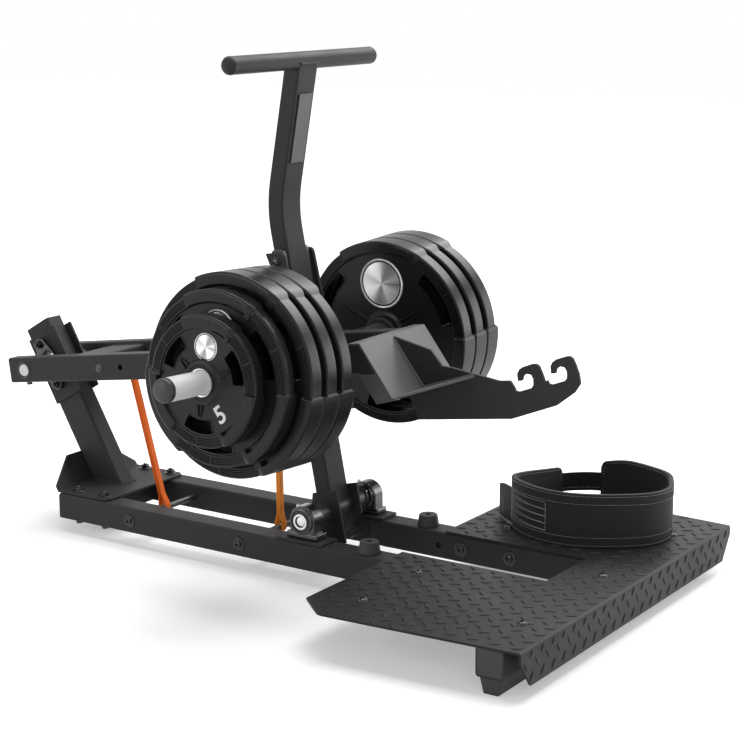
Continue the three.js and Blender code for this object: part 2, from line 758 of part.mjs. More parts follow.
// Weight horns with their steel sleeves, caps and plates; in each group y runs outwards along the horn
for (const [name, side] of both) {
  const horn = new THREE.Group();
  horn.position.set(hornU, side * armOuterY, 0);
  horn.rotation.set(side * hornTilt, 0, side < 0 ? Math.PI : 0);
  arm.add(horn);

  const collarFace = hornTubeLength + collarThickness;
  const sleeveFoot = collarFace + fit;
  const sleeveEnd = sleeveFoot + sleeveLength;
  const stub = turned([
    [0, -hornTubeDiameter / 2], [hornTubeDiameter / 2, -hornTubeDiameter / 2],
    [hornTubeDiameter / 2, hornTubeLength], [collarDiameter / 2, hornTubeLength],
    [collarDiameter / 2, collarFace], [coreDiameter / 2, collarFace],
    [coreDiameter / 2, sleeveEnd], [0, sleeveEnd],
  ]);
  const armFace = block([-collarDiameter, collarDiameter], [-collarDiameter, fit], [-collarDiameter, collarDiameter]);
  const seat = toSolid(toGeometry(armFace).rotateX(-hornTilt));
  place(horn, `weight_horn_${name}`, cut(stub, seat), powderCoat);

  const innerRadius = coreDiameter / 2 + running;
  const sleeve = turned([
    [innerRadius, sleeveFoot], [sleeveDiameter / 2, sleeveFoot],
    [sleeveDiameter / 2, sleeveEnd], [innerRadius, sleeveEnd], [innerRadius, sleeveFoot],
  ]);
  place(horn, `horn_sleeve_${name}`, sleeve, brushedSteel);

  const capFoot = sleeveEnd + fit;
  const cap = turned([
    [0, capFoot], [hornCapDiameter / 2, capFoot], [hornCapDiameter / 2, capFoot + hornCapLength / 2],
    [hornCapDiameter / 3, capFoot + hornCapLength], [0, capFoot + hornCapLength],
  ]);
  place(horn, `horn_cap_${name}`, cap, plasticBlack);

  const phases = side < 0 ? nearPhases : farPhases;
  const stack = [
    ...Array.from({ length: largeCount }, (_, i) => [`weight_plate_large_${i + 1}`, largePlate, phases.large]),
    ['weight_plate_middle', middlePlate, phases.middle],
    ['weight_plate_small', smallPlate, phases.small],
  ];
  let foot = collarFace + fit;
  for (const [label, sizes, phase] of stack) {
    const plate = place(horn, `${label}_${name}`, weightPlate(sizes), rubberBlack);
    plate.position.y = foot;
    plate.rotation.y = side * THREE.MathUtils.degToRad(phase);
    foot += sizes.thickness;
  }
}

// Hook plate: a gusset that rises along the web, and two hooks that open to the rear
function hookTop(outline, floorU, floorW) {
  for (const [u, w] of hookShares) {
    outline.push([floorU + u * hookPitch, floorW + w * hookPitch]);
  }
}

const hookOutline = [
  [hookRearU, hookBottomW],
  [hookRearTopU, hookRearTopW],
  onWeb(webBottomW, fit),
  onWeb(armHalf, fit),
  [webTopU + gussetReach, armHalf - gussetDrop],
  [webTopU + gussetReach + gussetStep, armHalf - gussetDrop - gussetStepDrop],
  [shelfTipU - gussetToe, shelfTipW + gussetToeRise],
  [hookStartU - hookLip, hookFloorW + hookLipRise],
  [hookStartU - hookLip / 4, hookFloorW + hookLipRise],
];
for (let i = 0; i < hookCount; i += 1) {
  hookTop(hookOutline, hookStartU + i * hookPitch, hookFloorW + i * hookRise);
}
const hookEndU = hookStartU + hookCount * hookPitch;
hookOutline.push(
  [hookEndU - hookNoseBack, hookFloorW + hookRise],
  [hookEndU - hookNoseBack - hookChin / 2, hookFloorW - hookChin / 8],
  [hookEndU - hookNoseBack - 2 * hookChin, hookFloorW - hookChin],
  [hookBottomFrontU, hookBottomW],
);
const tongue = hookSheet / 2;
place(arm, 'hook_plate', across(hookOutline, [-tongue, tongue]), powderCoat);

// Front bracket: ledge, sloping web, shelf and side legs of one folded sheet, slotted for the hook plate
{
  const ledgeBottom = armHalf + fit;
  const ledgeTop = ledgeBottom + bracketSheet;
  const ledgeFront = onWeb(ledgeTop, 0);
  const web = across([
    onWeb(webBottomW, -bracketSheet), onWeb(ledgeBottom, -bracketSheet), [ledgeFront[0] - bracketLedge, ledgeBottom],
    [ledgeFront[0] - bracketLedge, ledgeTop], ledgeFront, onWeb(webBottomW, 0),
  ], [-armOuterY, armOuterY]);
  const shelfStrip = across([
    onWeb(webBottomW, -bracketSheet), onWeb(webBottomW, 0), [shelfTipU, shelfTipW],
    [shelfTipU, shelfTipW - bracketSheet], onWeb(webBottomW - bracketSheet, -bracketSheet),
  ], [-armOuterY, armOuterY]);
  const tip = tongue + bracketSheet;
  const shelfPlan = upward([
    [webBottomU - overrun, -armOuterY], [webBottomU, -armOuterY], [shelfTipU, -tip],
    [shelfTipU, tip], [webBottomU, armOuterY], [webBottomU - overrun, armOuterY],
  ], [webBottomW - overrun, armHalf]);
  const legs = both.map(([, side]) => across([
    onWeb(-ledgeBottom, -legDepth), onWeb(-ledgeBottom, 0), onWeb(webBottomW, 0),
    [webBottomU + legForward, webBottomW - legDroop], onWeb(webBottomW - legHeel, -legDepth),
  ], spread(side, armOuterY - bracketSheet, armOuterY)));
  const slots = [[fit, 0], [-fit, 0], [0, fit], [0, -fit]].map(([u, w]) => across(
    hookOutline.map((point) => [point[0] + u, point[1] + w]),
    [-tongue - fit, tongue + fit],
  ));
  const bracket = join(web, shelfStrip.intersect(shelfPlan), ...legs);
  place(arm, 'front_bracket', cut(bracket, ...slots), powderCoat);
}

// Guide cheeks that straddle the lever, with a lobe for the catch roller's axle
for (const [name, side] of both) {
  const beamFront = middleBeamU + middleBeamDepth + fit;
  const under = -armHalf - fit;
  const outline = new THREE.Shape();
  outline.moveTo(rollerU, under);
  outline.lineTo(beamFront, under);
  outline.lineTo(beamFront, padBottomW);
  outline.lineTo(guideBoltSwellU, guideTopW - 2 * guideCorner);
  outline.lineTo(guideRearU, guideTopW);
  outline.lineTo(guideFrontU - 2 * guideCorner, guideTopW);
  outline.quadraticCurveTo(guideFrontU - guideCorner, guideTopW, guideFrontU - guideCorner, guideTopW - guideCorner);
  outline.lineTo(guideFrontU, padBottomW);
  outline.lineTo(guideFrontU - guideCorner, under);
  outline.lineTo(rollerU + rollerDiameter, rollerW - guideLobe / 2);
  outline.lineTo(rollerU, rollerW - guideLobe / 2);
  const width = spread(side, guideInnerY, guideInnerY + guideSheet);
  const lobe = rodAcross(rollerU, rollerW, guideLobe, width);
  const bore = rodAcross(rollerU, rollerW, rollerAxle + 2 * running, spread(side, 0, armInnerY));
  place(arm, `guide_cheek_${name}`, cut(join(across(outline, width), lobe), bore), powderCoat);

  const pad = new THREE.Shape();
  pad.moveTo(guideBoltSwellU, padBottomW);
  pad.lineTo(guideBoltSwellU, guideTopW + padRise - guideCorner);
  pad.quadraticCurveTo(guideBoltSwellU, guideTopW + padRise, guideBoltSwellU + guideCorner, guideTopW + padRise);
  const padFront = guideFrontU - padInset - guideCorner;
  pad.lineTo(padFront - guideCorner, guideTopW + padRise);
  pad.quadraticCurveTo(padFront, guideTopW + padRise, padFront, guideTopW + padRise - guideCorner);
  pad.lineTo(padFront + guideCorner / 2, padBottomW);
  const padWidth = spread(side, guideInnerY - fit - padSheet, guideInnerY - fit);
  place(arm, `guide_pad_${name}`, across(pad, padWidth), plasticBlack);
}

// Catch roller between the cheeks
{
  const axleEnd = guideInnerY + guideSheet;
  const roller = join(
    rodAcross(rollerU, rollerW, rollerDiameter, [-rollerHalfLength, rollerHalfLength]),
    rodAcross(rollerU, rollerW, rollerAxle, [-axleEnd, axleEnd]),
  );
  place(arm, 'catch_roller', roller, brushedSteel);
}

// Release lever: a bent rectangular tube, open at its foot and notched for the hub and the handle
const leverFoot = new THREE.Vector2(leverFootX, leverZ);
const leverBend = new THREE.Vector2(leverBendX, footHeight + leverBendHeight);
const leverTop = new THREE.Vector2(leverTopX, footHeight + handleHeight - handleDiameter * leverNotchShare);
const lowerWay = new THREE.Vector2().subVectors(leverBend, leverFoot).normalize();
const upperWay = new THREE.Vector2().subVectors(leverTop, leverBend).normalize();
const handleZ = footHeight + handleHeight;

function leverCentre(extra) {
  const path = new THREE.Path();
  path.moveTo(leverFoot.x - lowerWay.x * extra, leverFoot.y - lowerWay.y * extra);
  path.lineTo(leverBend.x - lowerWay.x * leverBendReach, leverBend.y - lowerWay.y * leverBendReach);
  path.quadraticCurveTo(
    leverBend.x, leverBend.y,
    leverBend.x + upperWay.x * leverBendReach, leverBend.y + upperWay.y * leverBendReach,
  );
  path.lineTo(leverTop.x + upperWay.x * extra, leverTop.y + upperWay.y * extra);
  return path.getPoints(6);
}

{
  const outer = across(strip(leverCentre(0), leverDepth / 2), [-leverWidth / 2, leverWidth / 2]);
  const inner = across(
    strip(leverCentre(overrun), leverDepth / 2 - tubeWall),
    [-leverWidth / 2 + tubeWall, leverWidth / 2 - tubeWall],
  );
  const hubSeat = rodAcross(leverX, leverZ, hubDiameter + 2 * running, [-leverWidth, leverWidth]);
  const handleSeat = rodAcross(handleX, handleZ, handleDiameter + 2 * fit, [-leverWidth, leverWidth]);
  place(machine, 'lever_tube', cut(outer, inner, hubSeat, handleSeat), powderCoat);
}

// Handle bar with domed ends
{
  const end = handleLength / 2;
  const half = [[0, end], [handleDiameter / 4, end - handleDome / 6], [handleDiameter / 2, end - handleDome]];
  const bar = turned([...half, ...half.map(([radius, y]) => [radius, -y]).reverse()]);
  place(machine, 'lever_handle', bar, powderCoat).position.set(handleX, 0, handleZ);
}

// Hub tube with the shaft that turns in the pillow blocks
{
  const hubEnd = railMidY - pillowWidth / 2 - fit;
  const end = railMidY + pillowWidth / 2 + leverShaftProud;
  const half = [
    [0, end], [leverShaftDiameter / 2, end], [leverShaftDiameter / 2, hubEnd], [hubDiameter / 2, hubEnd],
  ];
  const shaft = turned([...half, ...half.map(([radius, y]) => [radius, -y]).reverse()]);
  place(machine, 'lever_shaft', shaft, powderCoat).position.set(leverX, 0, leverZ);
}

// Cheek plates at the lever's foot: the far one has a tail that rests against the stop pin
{
  const tailFront = stopPinX - stopPinDiameter / 2 - fit;
  const tailFoot = footHeight + stopPinHeight - stopPinDiameter / 2;
  const toPoint = ([u, w]) => [leverX + u * cheekDrop, leverZ + w * cheekDrop];
  const outlines = {
    near: nearCheekShares.map(toPoint),
    far: [
      ...farCheekShares.map(toPoint),
      [tailFront, footHeight + stopPinHeight + stopPinDiameter],
      [tailFront, tailFoot],
      [tailFront - tailWidth, tailFoot],
      [tailFront - tailWidth - cheekDrop * tailSlantShare, leverZ - cheekDrop / 2],
    ],
  };
  for (const [name, side] of both) {
    const inner = leverWidth / 2 + fit;
    const plate = across(outlines[name], spread(side, inner, inner + cheekSheet));
    const bore = rodAcross(leverX, leverZ, hubDiameter + 2 * running, spread(side, 0, railInnerY));
    place(machine, `lever_cheek_${name}`, cut(plate, bore), powderCoat);
  }
}

// Catch block on the lever's rear face: its top is an arc about the lever's shaft, under the roller
{
  const [rollerX, rollerZ] = onArm(rollerU, rollerW);
  const reach = Math.hypot(rollerX - leverX, rollerZ - leverZ) - rollerDiameter / 2 - fit;
  const rollerTurn = Math.atan2(leverX - rollerX, rollerZ - leverZ);
  const polar = (radius, turn) => [leverX - radius * Math.sin(turn), leverZ + radius * Math.cos(turn)];
  const start = rollerTurn - catchReach;
  const end = rollerTurn + catchReach / 2;
  const arc = Array.from({ length: 9 }, (_, i) => polar(reach, start + (end - start) * i / 8));
  const outline = [...arc, polar(reach - catchNose, end), polar(reach - catchDrop, start)];
  const wedge = across(outline, [-catchWidth / 2, catchWidth / 2]);
  const lever = across(strip(leverCentre(0), leverDepth / 2 + fit), [-leverWidth, leverWidth]);
  const crest = polar(reach + overrun, 0);
  const beyond = across([
    [crest[0], leverZ], crest, polar(reach + overrun, start / 2), polar(overrun, start / 2),
  ], [-leverWidth, leverWidth]);
  place(machine, 'catch_block', cut(wedge, lever, beyond), powderCoat);
}

// Blank badge plate on the upper front face of the lever
{
  const onUpper = (height, offset) => {
    const rise = (footHeight + height - leverBend.y) / upperWay.y;
    return [leverBend.x + upperWay.x * rise + offset * upperWay.y, footHeight + height - offset * upperWay.x];
  };
  const face = leverDepth / 2 + fit;
  const outline = [
    onUpper(badgeBottom, face), onUpper(badgeBottom, face + badgeSheet),
    onUpper(badgeTop, face + badgeSheet), onUpper(badgeTop, face),
  ];
  place(machine, 'lever_badge', across(outline, [-badgeWidth / 2, badgeWidth / 2]), plasticBlack);
}

// Elastic bands: closed loops round a peg of the base and a peg of the arm
function band(name, baseX, armU, y, material) {
  const [x, z] = onArm(armU, 0);
  const turn = Math.atan2(z - railMid, x - baseX);
  const inner = pegDiameter / 2 + fit;
  const loop = (radius, path) => {
    path.absarc(x, z, radius, turn - Math.PI / 2, turn + Math.PI / 2, false);
    path.absarc(baseX, railMid, radius, turn + Math.PI / 2, turn + 3 * Math.PI / 2, false);
    return path;
  };
  const shape = loop(inner + bandThickness, new THREE.Shape());
  shape.holes.push(loop(inner, new THREE.Path()));
  place(machine, name, across(shape, [y - bandWidth / 2, y + bandWidth / 2]), material);
}
band('elastic_band_rear', basePegRearX, armPegRearU, rearBandY, bandOrange);
band('elastic_band_front', basePegFrontX, armPegFrontU, frontBandY, bandYellow);

// Squat belt: a padded loop standing on its edge, closed at the back by a narrow strap
{
  const foot = railTop + fit + platformSheet + fit;
  const onPlan = ([u, v]) => new THREE.Vector3(
    beltLeft + u * (beltRight - beltLeft), beltNear + v * (beltFar - beltNear), 0,
  );
  const curve = new THREE.CatmullRomCurve3(beltRouteShares.map(onPlan), true);
  const points = curve.getSpacedPoints(beltSteps).slice(0, beltSteps);
  const offset = (distance) => points.map((point, i) => {
    const tangent = curve.getTangentAt(i / beltSteps);
    return new THREE.Vector2(point.x + tangent.y * distance, point.y - tangent.x * distance);
  });
  const shape = new THREE.Shape(offset(beltThickness / 2));
  shape.holes.push(new THREE.Path(offset(-beltThickness / 2)));
  const geometry = new THREE.ExtrudeGeometry(shape, { depth: 1, bevelEnabled: false });
  const corners = geometry.attributes.position;
  for (let i = 0; i < corners.count; i += 1) {
    const back = THREE.MathUtils.smoothstep(corners.getY(i), beltNear, beltFar);
    const right = THREE.MathUtils.smoothstep(corners.getX(i), beltLeft, (beltLeft + beltRight) / 2);
    const rear = THREE.MathUtils.lerp(beltRearHeight, beltFrontHeight, right * beltRightShare);
    corners.setZ(i, foot + corners.getZ(i) * THREE.MathUtils.lerp(beltFrontHeight, rear, back));
  }
  const [gapStart, gapEnd] = beltGapShares.map(onPlan);
  const away = new THREE.Vector3().subVectors(gapEnd, gapStart).normalize();
  const gapPlan = [[-1, gapStart], [-1, gapEnd], [1, gapEnd], [1, gapStart]].map(([sign, point]) => [
    point.x - sign * away.y * beltGapReach, point.y + sign * away.x * beltGapReach,
  ]);
  const above = upward(gapPlan, [foot + beltStrapTop, foot + 2 * beltFrontHeight]);
  const below = upward(gapPlan, [foot - overrun, foot + beltStrapBottom]);
  const tabRoot = onPlan(beltTabShares[0]);
  const tabWay = new THREE.Vector3().subVectors(onPlan(beltTabShares[1]), tabRoot).normalize();
  const tabPlan = [[0, 1], [1, 1], [1, -1], [0, -1]].map(([along, sign]) => [
    tabRoot.x + tabWay.x * along * beltTabLength - sign * tabWay.y * beltThickness / 2,
    tabRoot.y + tabWay.y * along * beltTabLength + sign * tabWay.x * beltThickness / 2,
  ]);
  const tab = upward(tabPlan, [foot + beltTabRaise, foot + beltTabRaise + beltTabHeight]);
  place(machine, 'squat_belt', join(cut(toSolid(geometry), above, below), tab), webbingBlack);
}

// The origin lies on the floor, under the middle of the machine
machine.updateMatrixWorld(true);
const extent = new THREE.Box3().setFromObject(machine);
machine.position.x = -(extent.min.x + extent.max.x) / 2;
machine.updateMatrixWorld(true);

export default machine;
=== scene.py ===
import bisect
import math

import bmesh
import bpy
import mathutils
from mathutils import Matrix, Vector


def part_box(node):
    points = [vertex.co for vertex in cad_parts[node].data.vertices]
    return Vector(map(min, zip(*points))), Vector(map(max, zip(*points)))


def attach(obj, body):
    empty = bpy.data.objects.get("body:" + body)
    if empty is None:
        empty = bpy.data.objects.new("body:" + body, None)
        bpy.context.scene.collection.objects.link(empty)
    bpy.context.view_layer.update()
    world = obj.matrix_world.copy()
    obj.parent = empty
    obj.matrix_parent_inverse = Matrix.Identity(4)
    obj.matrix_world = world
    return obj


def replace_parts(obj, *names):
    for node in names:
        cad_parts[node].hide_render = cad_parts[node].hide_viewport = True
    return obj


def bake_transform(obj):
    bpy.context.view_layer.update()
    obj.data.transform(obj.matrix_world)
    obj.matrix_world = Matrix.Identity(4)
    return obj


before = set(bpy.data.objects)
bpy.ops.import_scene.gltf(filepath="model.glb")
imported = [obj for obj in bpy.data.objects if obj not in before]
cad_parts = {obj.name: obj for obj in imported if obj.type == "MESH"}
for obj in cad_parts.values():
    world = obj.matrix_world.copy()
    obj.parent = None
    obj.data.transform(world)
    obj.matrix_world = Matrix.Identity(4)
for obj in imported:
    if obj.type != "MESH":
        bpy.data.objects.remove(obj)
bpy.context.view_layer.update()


# Studio: a white sweep of floor under large soft boxes, as for a catalogue photograph.
# The camera stands low at the front left corner of the machine, on the near side.
# Only the camera, reflections and glass see the pure white surround.
studio = bpy.context.scene
studio.view_settings.view_transform = "Standard"

camera_azimuth, camera_elevation, camera_roll = 34.165, 12.372, -0.311
lens = bpy.data.cameras.new("catalogue_camera")
lens.lens = 89.64
lens.sensor_width = 36.0
lens.clip_end = 60.0
camera = bpy.data.objects.new("catalogue_camera", lens)
studio.collection.objects.link(camera)
camera.matrix_world = (
    Matrix.Translation((2.3489, -3.2008, 1.3072))
    @ Matrix.Rotation(math.radians(camera_azimuth), 4, "Z")
    @ Matrix.Rotation(math.radians(90.0 - camera_elevation), 4, "X")
    @ Matrix.Rotation(math.radians(camera_roll), 4, "Z")
)
studio.camera = camera


def add_node(tree, kind, values=None, **settings):
    """A shader node with its settings, and the values of the inputs that nothing feeds"""
    node = tree.nodes.new("ShaderNode" + kind)
    for name, setting in settings.items():
        setattr(node, name, setting)
    for name, value in (values or {}).items():
        node.inputs[name].default_value = value
    return node


def wire(tree, *runs):
    """Each run names a node and its output, then a node and its input"""
    for source, out, target, into in runs:
        tree.links.new(source.outputs[out], target.inputs[into])


def white_where_seen(tree):
    """1 for camera, glossy and transmission rays, and 0 for light that falls on the object"""
    rays = add_node(tree, "LightPath")
    mirrored = add_node(tree, "Math", operation="MAXIMUM")
    seen = add_node(tree, "Math", operation="MAXIMUM")
    wire(
        tree, (rays, "Is Glossy Ray", mirrored, 0), (rays, "Is Transmission Ray", mirrored, 1),
        (rays, "Is Camera Ray", seen, 0), (mirrored, 0, seen, 1),
    )
    return seen


sky_fill = 0.22
surround = bpy.data.worlds.new("white_surround")
surround.use_nodes = True
studio.world = surround
sky = surround.node_tree
sky_strength = add_node(sky, "Math", {1: 1.0 - sky_fill, 2: sky_fill}, operation="MULTIPLY_ADD")
sky.nodes["Background"].inputs["Color"].default_value = (1.0, 1.0, 1.0, 1.0)
wire(sky, (white_where_seen(sky), 0, sky_strength, 0), (sky_strength, 0, sky.nodes["Background"], "Strength"))

paper = bpy.data.materials.new("white_paper")
paper.use_nodes = True
paper_tree = paper.node_tree
paper_shader = paper_tree.nodes["Principled BSDF"]
paper_shader.inputs["Base Color"].default_value = (0.90, 0.90, 0.90, 1.0)
paper_shader.inputs["Roughness"].default_value = 0.9
paper_shader.inputs["Specular IOR Level"].default_value = 0.1
paper_shader.inputs["Emission Color"].default_value = (1.0, 1.0, 1.0, 1.0)
paper_place = add_node(paper_tree, "TexCoord")
paper_reach = add_node(paper_tree, "VectorMath", operation="LENGTH")
paper_fade = add_node(paper_tree, "MapRange", {"From Min": 1.3, "From Max": 3.2, "To Min": 0.36, "To Max": 1.0})
paper_glow = add_node(paper_tree, "Math", operation="MULTIPLY")
wire(
    paper_tree, (paper_place, "Object", paper_reach, 0), (paper_reach, "Value", paper_fade, "Value"),
    (white_where_seen(paper_tree), 0, paper_glow, 0), (paper_fade, "Result", paper_glow, 1),
    (paper_glow, 0, paper_shader, "Emission Strength"),
)

floor_shape = bmesh.new()
bmesh.ops.create_grid(floor_shape, x_segments=1, y_segments=1, size=14.0)
floor_mesh = bpy.data.meshes.new("paper_floor")
floor_shape.to_mesh(floor_mesh)
floor_shape.free()
floor_mesh.materials.append(paper)
floor = bpy.data.objects.new("paper_floor", floor_mesh)
studio.collection.objects.link(floor)

# Soft boxes: place, what it points at, width, height, power in watts
for label, place, target, width, height, power in (
    ("overhead_box", (0.1, 0.4, 3.6), (0.1, 0.0, 0.3), 3.0, 2.6, 108.0),
    ("front_box", (2.9, -2.5, 1.9), (0.1, 0.0, 0.4), 1.4, 1.2, 13.0),
    ("left_box", (-1.9, -3.3, 1.6), (0.0, 0.0, 0.4), 1.6, 1.6, 30.0),
    ("back_box", (0.5, 3.0, 3.0), (0.1, -0.2, 0.4), 2.6, 1.4, 80.0),
    ("rim_box", (1.9, 2.5, 0.85), (0.2, 0.0, 0.45), 1.4, 1.2, 20.0),
):
    box_light = bpy.data.lights.new(label, "AREA")
    box_light.shape = "RECTANGLE"
    box_light.size = width
    box_light.size_y = height
    box_light.energy = power
    lamp = bpy.data.objects.new(label, box_light)
    studio.collection.objects.link(lamp)
    lamp.location = place
    lamp.rotation_euler = (Vector(target) - Vector(place)).to_track_quat("-Z", "Y").to_euler()


# Two rails of 60 mm square steel tube run the length of the base, 173 mm apart. Each is cut
# square, powder coated a satin dark grey and plugged at its rear end with black plastic. A short
# pad is welded on top of each for the release lever's bearing.
rail_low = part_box("rail_near")[0]

# The drawing is in millimetres, from the rails' rear ends at floor level; bench turns it into the frame
bench = Matrix.Translation((rail_low[0], 0.0, 0.0)) @ Matrix.Scale(0.001, 4)
near_and_far = (("near", -1), ("far", 1))


def coated_surface():
    """Mottled colour and roughness with a fine grain, for everything coated or moulded"""
    group = bpy.data.node_groups.new("coated surface", "ShaderNodeTree")
    for name, way, kind in (
        ("Colour", "INPUT", "Color"), ("Sheen colour", "INPUT", "Color"), ("Grain size", "INPUT", "Float"),
        ("Grain depth", "INPUT", "Float"), ("Roughness low", "INPUT", "Float"), ("Roughness high", "INPUT", "Float"),
        ("Colour", "OUTPUT", "Color"), ("Roughness", "OUTPUT", "Float"), ("Normal", "OUTPUT", "Vector"),
    ):
        group.interface.new_socket(name, in_out=way, socket_type="NodeSocket" + kind)
    given = group.nodes.new("NodeGroupInput")
    made = group.nodes.new("NodeGroupOutput")
    place = add_node(group, "TexCoord")
    grain = add_node(group, "TexNoise", {"Detail": 2.0, "Roughness": 0.6})
    cloud = add_node(group, "TexNoise", {"Scale": 7.0, "Detail": 3.0})
    speck = add_node(group, "Math", {1: 0.45}, operation="MULTIPLY_ADD")
    speck_sum = add_node(group, "Math", {1: 0.55}, operation="MULTIPLY_ADD")
    tone = add_node(group, "Mix", data_type="RGBA")
    dull = add_node(group, "MapRange", {"From Min": 0.30, "From Max": 0.70})
    bump = add_node(group, "Bump", {"Strength": 1.0})
    wire(
        group, (place, "Object", grain, "Vector"), (place, "Object", cloud, "Vector"),
        (given, "Grain size", grain, "Scale"), (grain, "Fac", speck_sum, 0), (cloud, "Fac", speck, 0),
        (speck, 0, speck_sum, 2), (speck_sum, 0, tone, "Factor"), (given, "Colour", tone, "A"),
        (given, "Sheen colour", tone, "B"), (cloud, "Fac", dull, "Value"),
        (given, "Roughness low", dull, "To Min"), (given, "Roughness high", dull, "To Max"),
        (grain, "Fac", bump, "Height"), (given, "Grain depth", bump, "Distance"),
        (tone, "Result", made, "Colour"), (dull, "Result", made, "Roughness"), (bump, "Normal", made, "Normal"),
    )
    return group


surface_grain = coated_surface()


def new_material(name, slot, metallic=0.0):
    """A material with the record's slot that it answers to, and its tree and shader"""
    made = bpy.data.materials.new(name)
    made["slot"] = slot
    made.use_nodes = True
    shader = made.node_tree.nodes["Principled BSDF"]
    shader.inputs["Metallic"].default_value = metallic
    return made, made.node_tree, shader


def finish(name, slot, dark, light, grain_size, grain_depth, roughness, spread, metallic=0.0, coat=0.0, specular=0.5):
    """A coated or moulded surface"""
    made, tree, shader = new_material(name, slot, metallic)
    look = tree.nodes.new("ShaderNodeGroup")
    look.node_tree = surface_grain
    for socket, value in (
        ("Colour", (*dark, 1.0)), ("Sheen colour", (*light, 1.0)), ("Grain size", grain_size),
        ("Grain depth", grain_depth), ("Roughness low", roughness - spread), ("Roughness high", roughness + spread),
    ):
        look.inputs[socket].default_value = value
    shader.inputs["Coat Weight"].default_value = coat
    shader.inputs["Coat Roughness"].default_value = 0.08
    shader.inputs["Specular IOR Level"].default_value = specular
    wire(
        tree, (look, "Colour", shader, "Base Color"), (look, "Roughness", shader, "Roughness"),
        (look, "Normal", shader, "Normal"),
    )
    return made


powder_coat = finish(
    "satin powder coat", "powder_coat", (0.021, 0.0212, 0.0217), (0.037, 0.0373, 0.038),
    1100.0, 0.00018, 0.48, 0.04, specular=0.12,
)
plug_plastic = finish(
    "moulded end plug", "black_plastic", (0.008, 0.008, 0.0085), (0.015, 0.015, 0.0155), 700.0, 0.0001, 0.46, 0.05,
)


def as_mesh(shape, name):
    mesh = bpy.data.meshes.new(name)
    shape.to_mesh(mesh)
    shape.free()
    return mesh


def shown(mesh, name, material, body, nodes=(), smooth=35.0, weighted=True):
    """A finished mesh as a piece of its body, in place of the CAD nodes that it stands for"""
    mesh.materials.clear()
    mesh.materials.append(material)
    mesh.shade_smooth()
    mesh.set_sharp_from_angle(angle=math.radians(smooth))
    piece = bpy.data.objects.new(name, mesh)
    studio.collection.objects.link(piece)
    if weighted:
        piece.modifiers.new("even shading", "WEIGHTED_NORMAL").keep_sharp = True
    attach(piece, body)
    if nodes:
        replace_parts(piece, *nodes)
    return piece


def as_piece(shape, name, material, body, nodes=(), place=Matrix(), smooth=35.0, weighted=True):
    """A shape drawn in millimetres as a piece, with its doubles merged and its faces outwards"""
    bmesh.ops.remove_doubles(shape, verts=shape.verts[:], dist=0.002)
    bmesh.ops.recalc_face_normals(shape, faces=shape.faces[:])
    shape.transform(bench @ place)
    return shown(as_mesh(shape, name), name, material, body, nodes, smooth, weighted)


def rounded(shape, edges, radius, segments=3):
    bmesh.ops.bevel(
        shape, geom=edges, offset=radius, offset_type="OFFSET", segments=segments,
        profile=0.5, affect="EDGES", material=-1, clamp_overlap=True,
    )


def eased(shape, radius, segments=2, sharper_than=25.0):
    edges = [e for e in shape.edges if e.is_manifold and e.calc_face_angle(0.0) > math.radians(sharper_than)]
    rounded(shape, edges, radius, segments)
    return shape


def edges_along(shape, axis):
    return [e for e in shape.edges if abs((e.verts[0].co - e.verts[1].co).normalized()[axis]) > 0.99]


def placed(shape, place):
    shape.transform(place)
    return shape


def moved(shape, x, y, z):
    return placed(shape, Matrix.Translation((x, y, z)))


def slab(low, high):
    """A box between two corners"""
    shape = bmesh.new()
    bmesh.ops.create_cube(shape, size=1.0)
    bmesh.ops.scale(shape, vec=[b - a for a, b in zip(low, high)], verts=shape.verts)
    bmesh.ops.translate(shape, vec=[(a + b) / 2 for a, b in zip(low, high)], verts=shape.verts)
    return shape


def box_tube(low, high, axis, corner=6.0, wall=3.0, deep=40.0):
    """A square tube, open some way in at both ends"""
    shape = slab(low, high)
    rounded(shape, edges_along(shape, axis), corner, 4)
    for end in [f for f in shape.faces if abs(f.normal[axis]) > 0.99]:
        inward = -end.normal * deep
        bmesh.ops.inset_region(shape, faces=[end], thickness=wall, use_even_offset=True)
        pushed = bmesh.ops.extrude_discrete_faces(shape, faces=[end])["faces"]
        bmesh.ops.translate(shape, vec=inward, verts=pushed[0].verts)
    return shape


def laid(shape, along):
    """A shape made upright, laid along the machine or across it"""
    if along == "Y":
        shape.transform(Matrix.Rotation(math.radians(-90), 4, "X"))
    elif along == "X":
        shape.transform(Matrix.Rotation(math.radians(90), 4, "Y"))
    return shape


def rod(radius, start, end):
    shape = bmesh.new()
    bmesh.ops.create_cone(shape, cap_ends=True, segments=32, radius1=radius, radius2=radius, depth=end - start)
    bmesh.ops.translate(shape, vec=(0, 0, (start + end) / 2), verts=shape.verts)
    return laid(shape, "Y")


def drilled(shape, *cutters):
    """The shape with the cutters' volumes taken out"""
    bodies = []
    for label, solid in [("blank", shape)] + [("drill", cutter) for cutter in cutters]:
        bodies.append(bpy.data.objects.new(label, as_mesh(solid, label)))
        studio.collection.objects.link(bodies[-1])
    for tool in bodies[1:]:
        cut = bodies[0].modifiers.new("drill", "BOOLEAN")
        cut.operation = "DIFFERENCE"
        cut.solver = "EXACT"
        cut.object = tool
    bpy.context.view_layer.update()
    result = bpy.data.meshes.new_from_object(bodies[0].evaluated_get(bpy.context.evaluated_depsgraph_get()))
    cut_shape = bmesh.new()
    cut_shape.from_mesh(result)
    bpy.data.meshes.remove(result)
    for body in bodies:
        mesh = body.data
        bpy.data.objects.remove(body)
        bpy.data.meshes.remove(mesh)
    return cut_shape


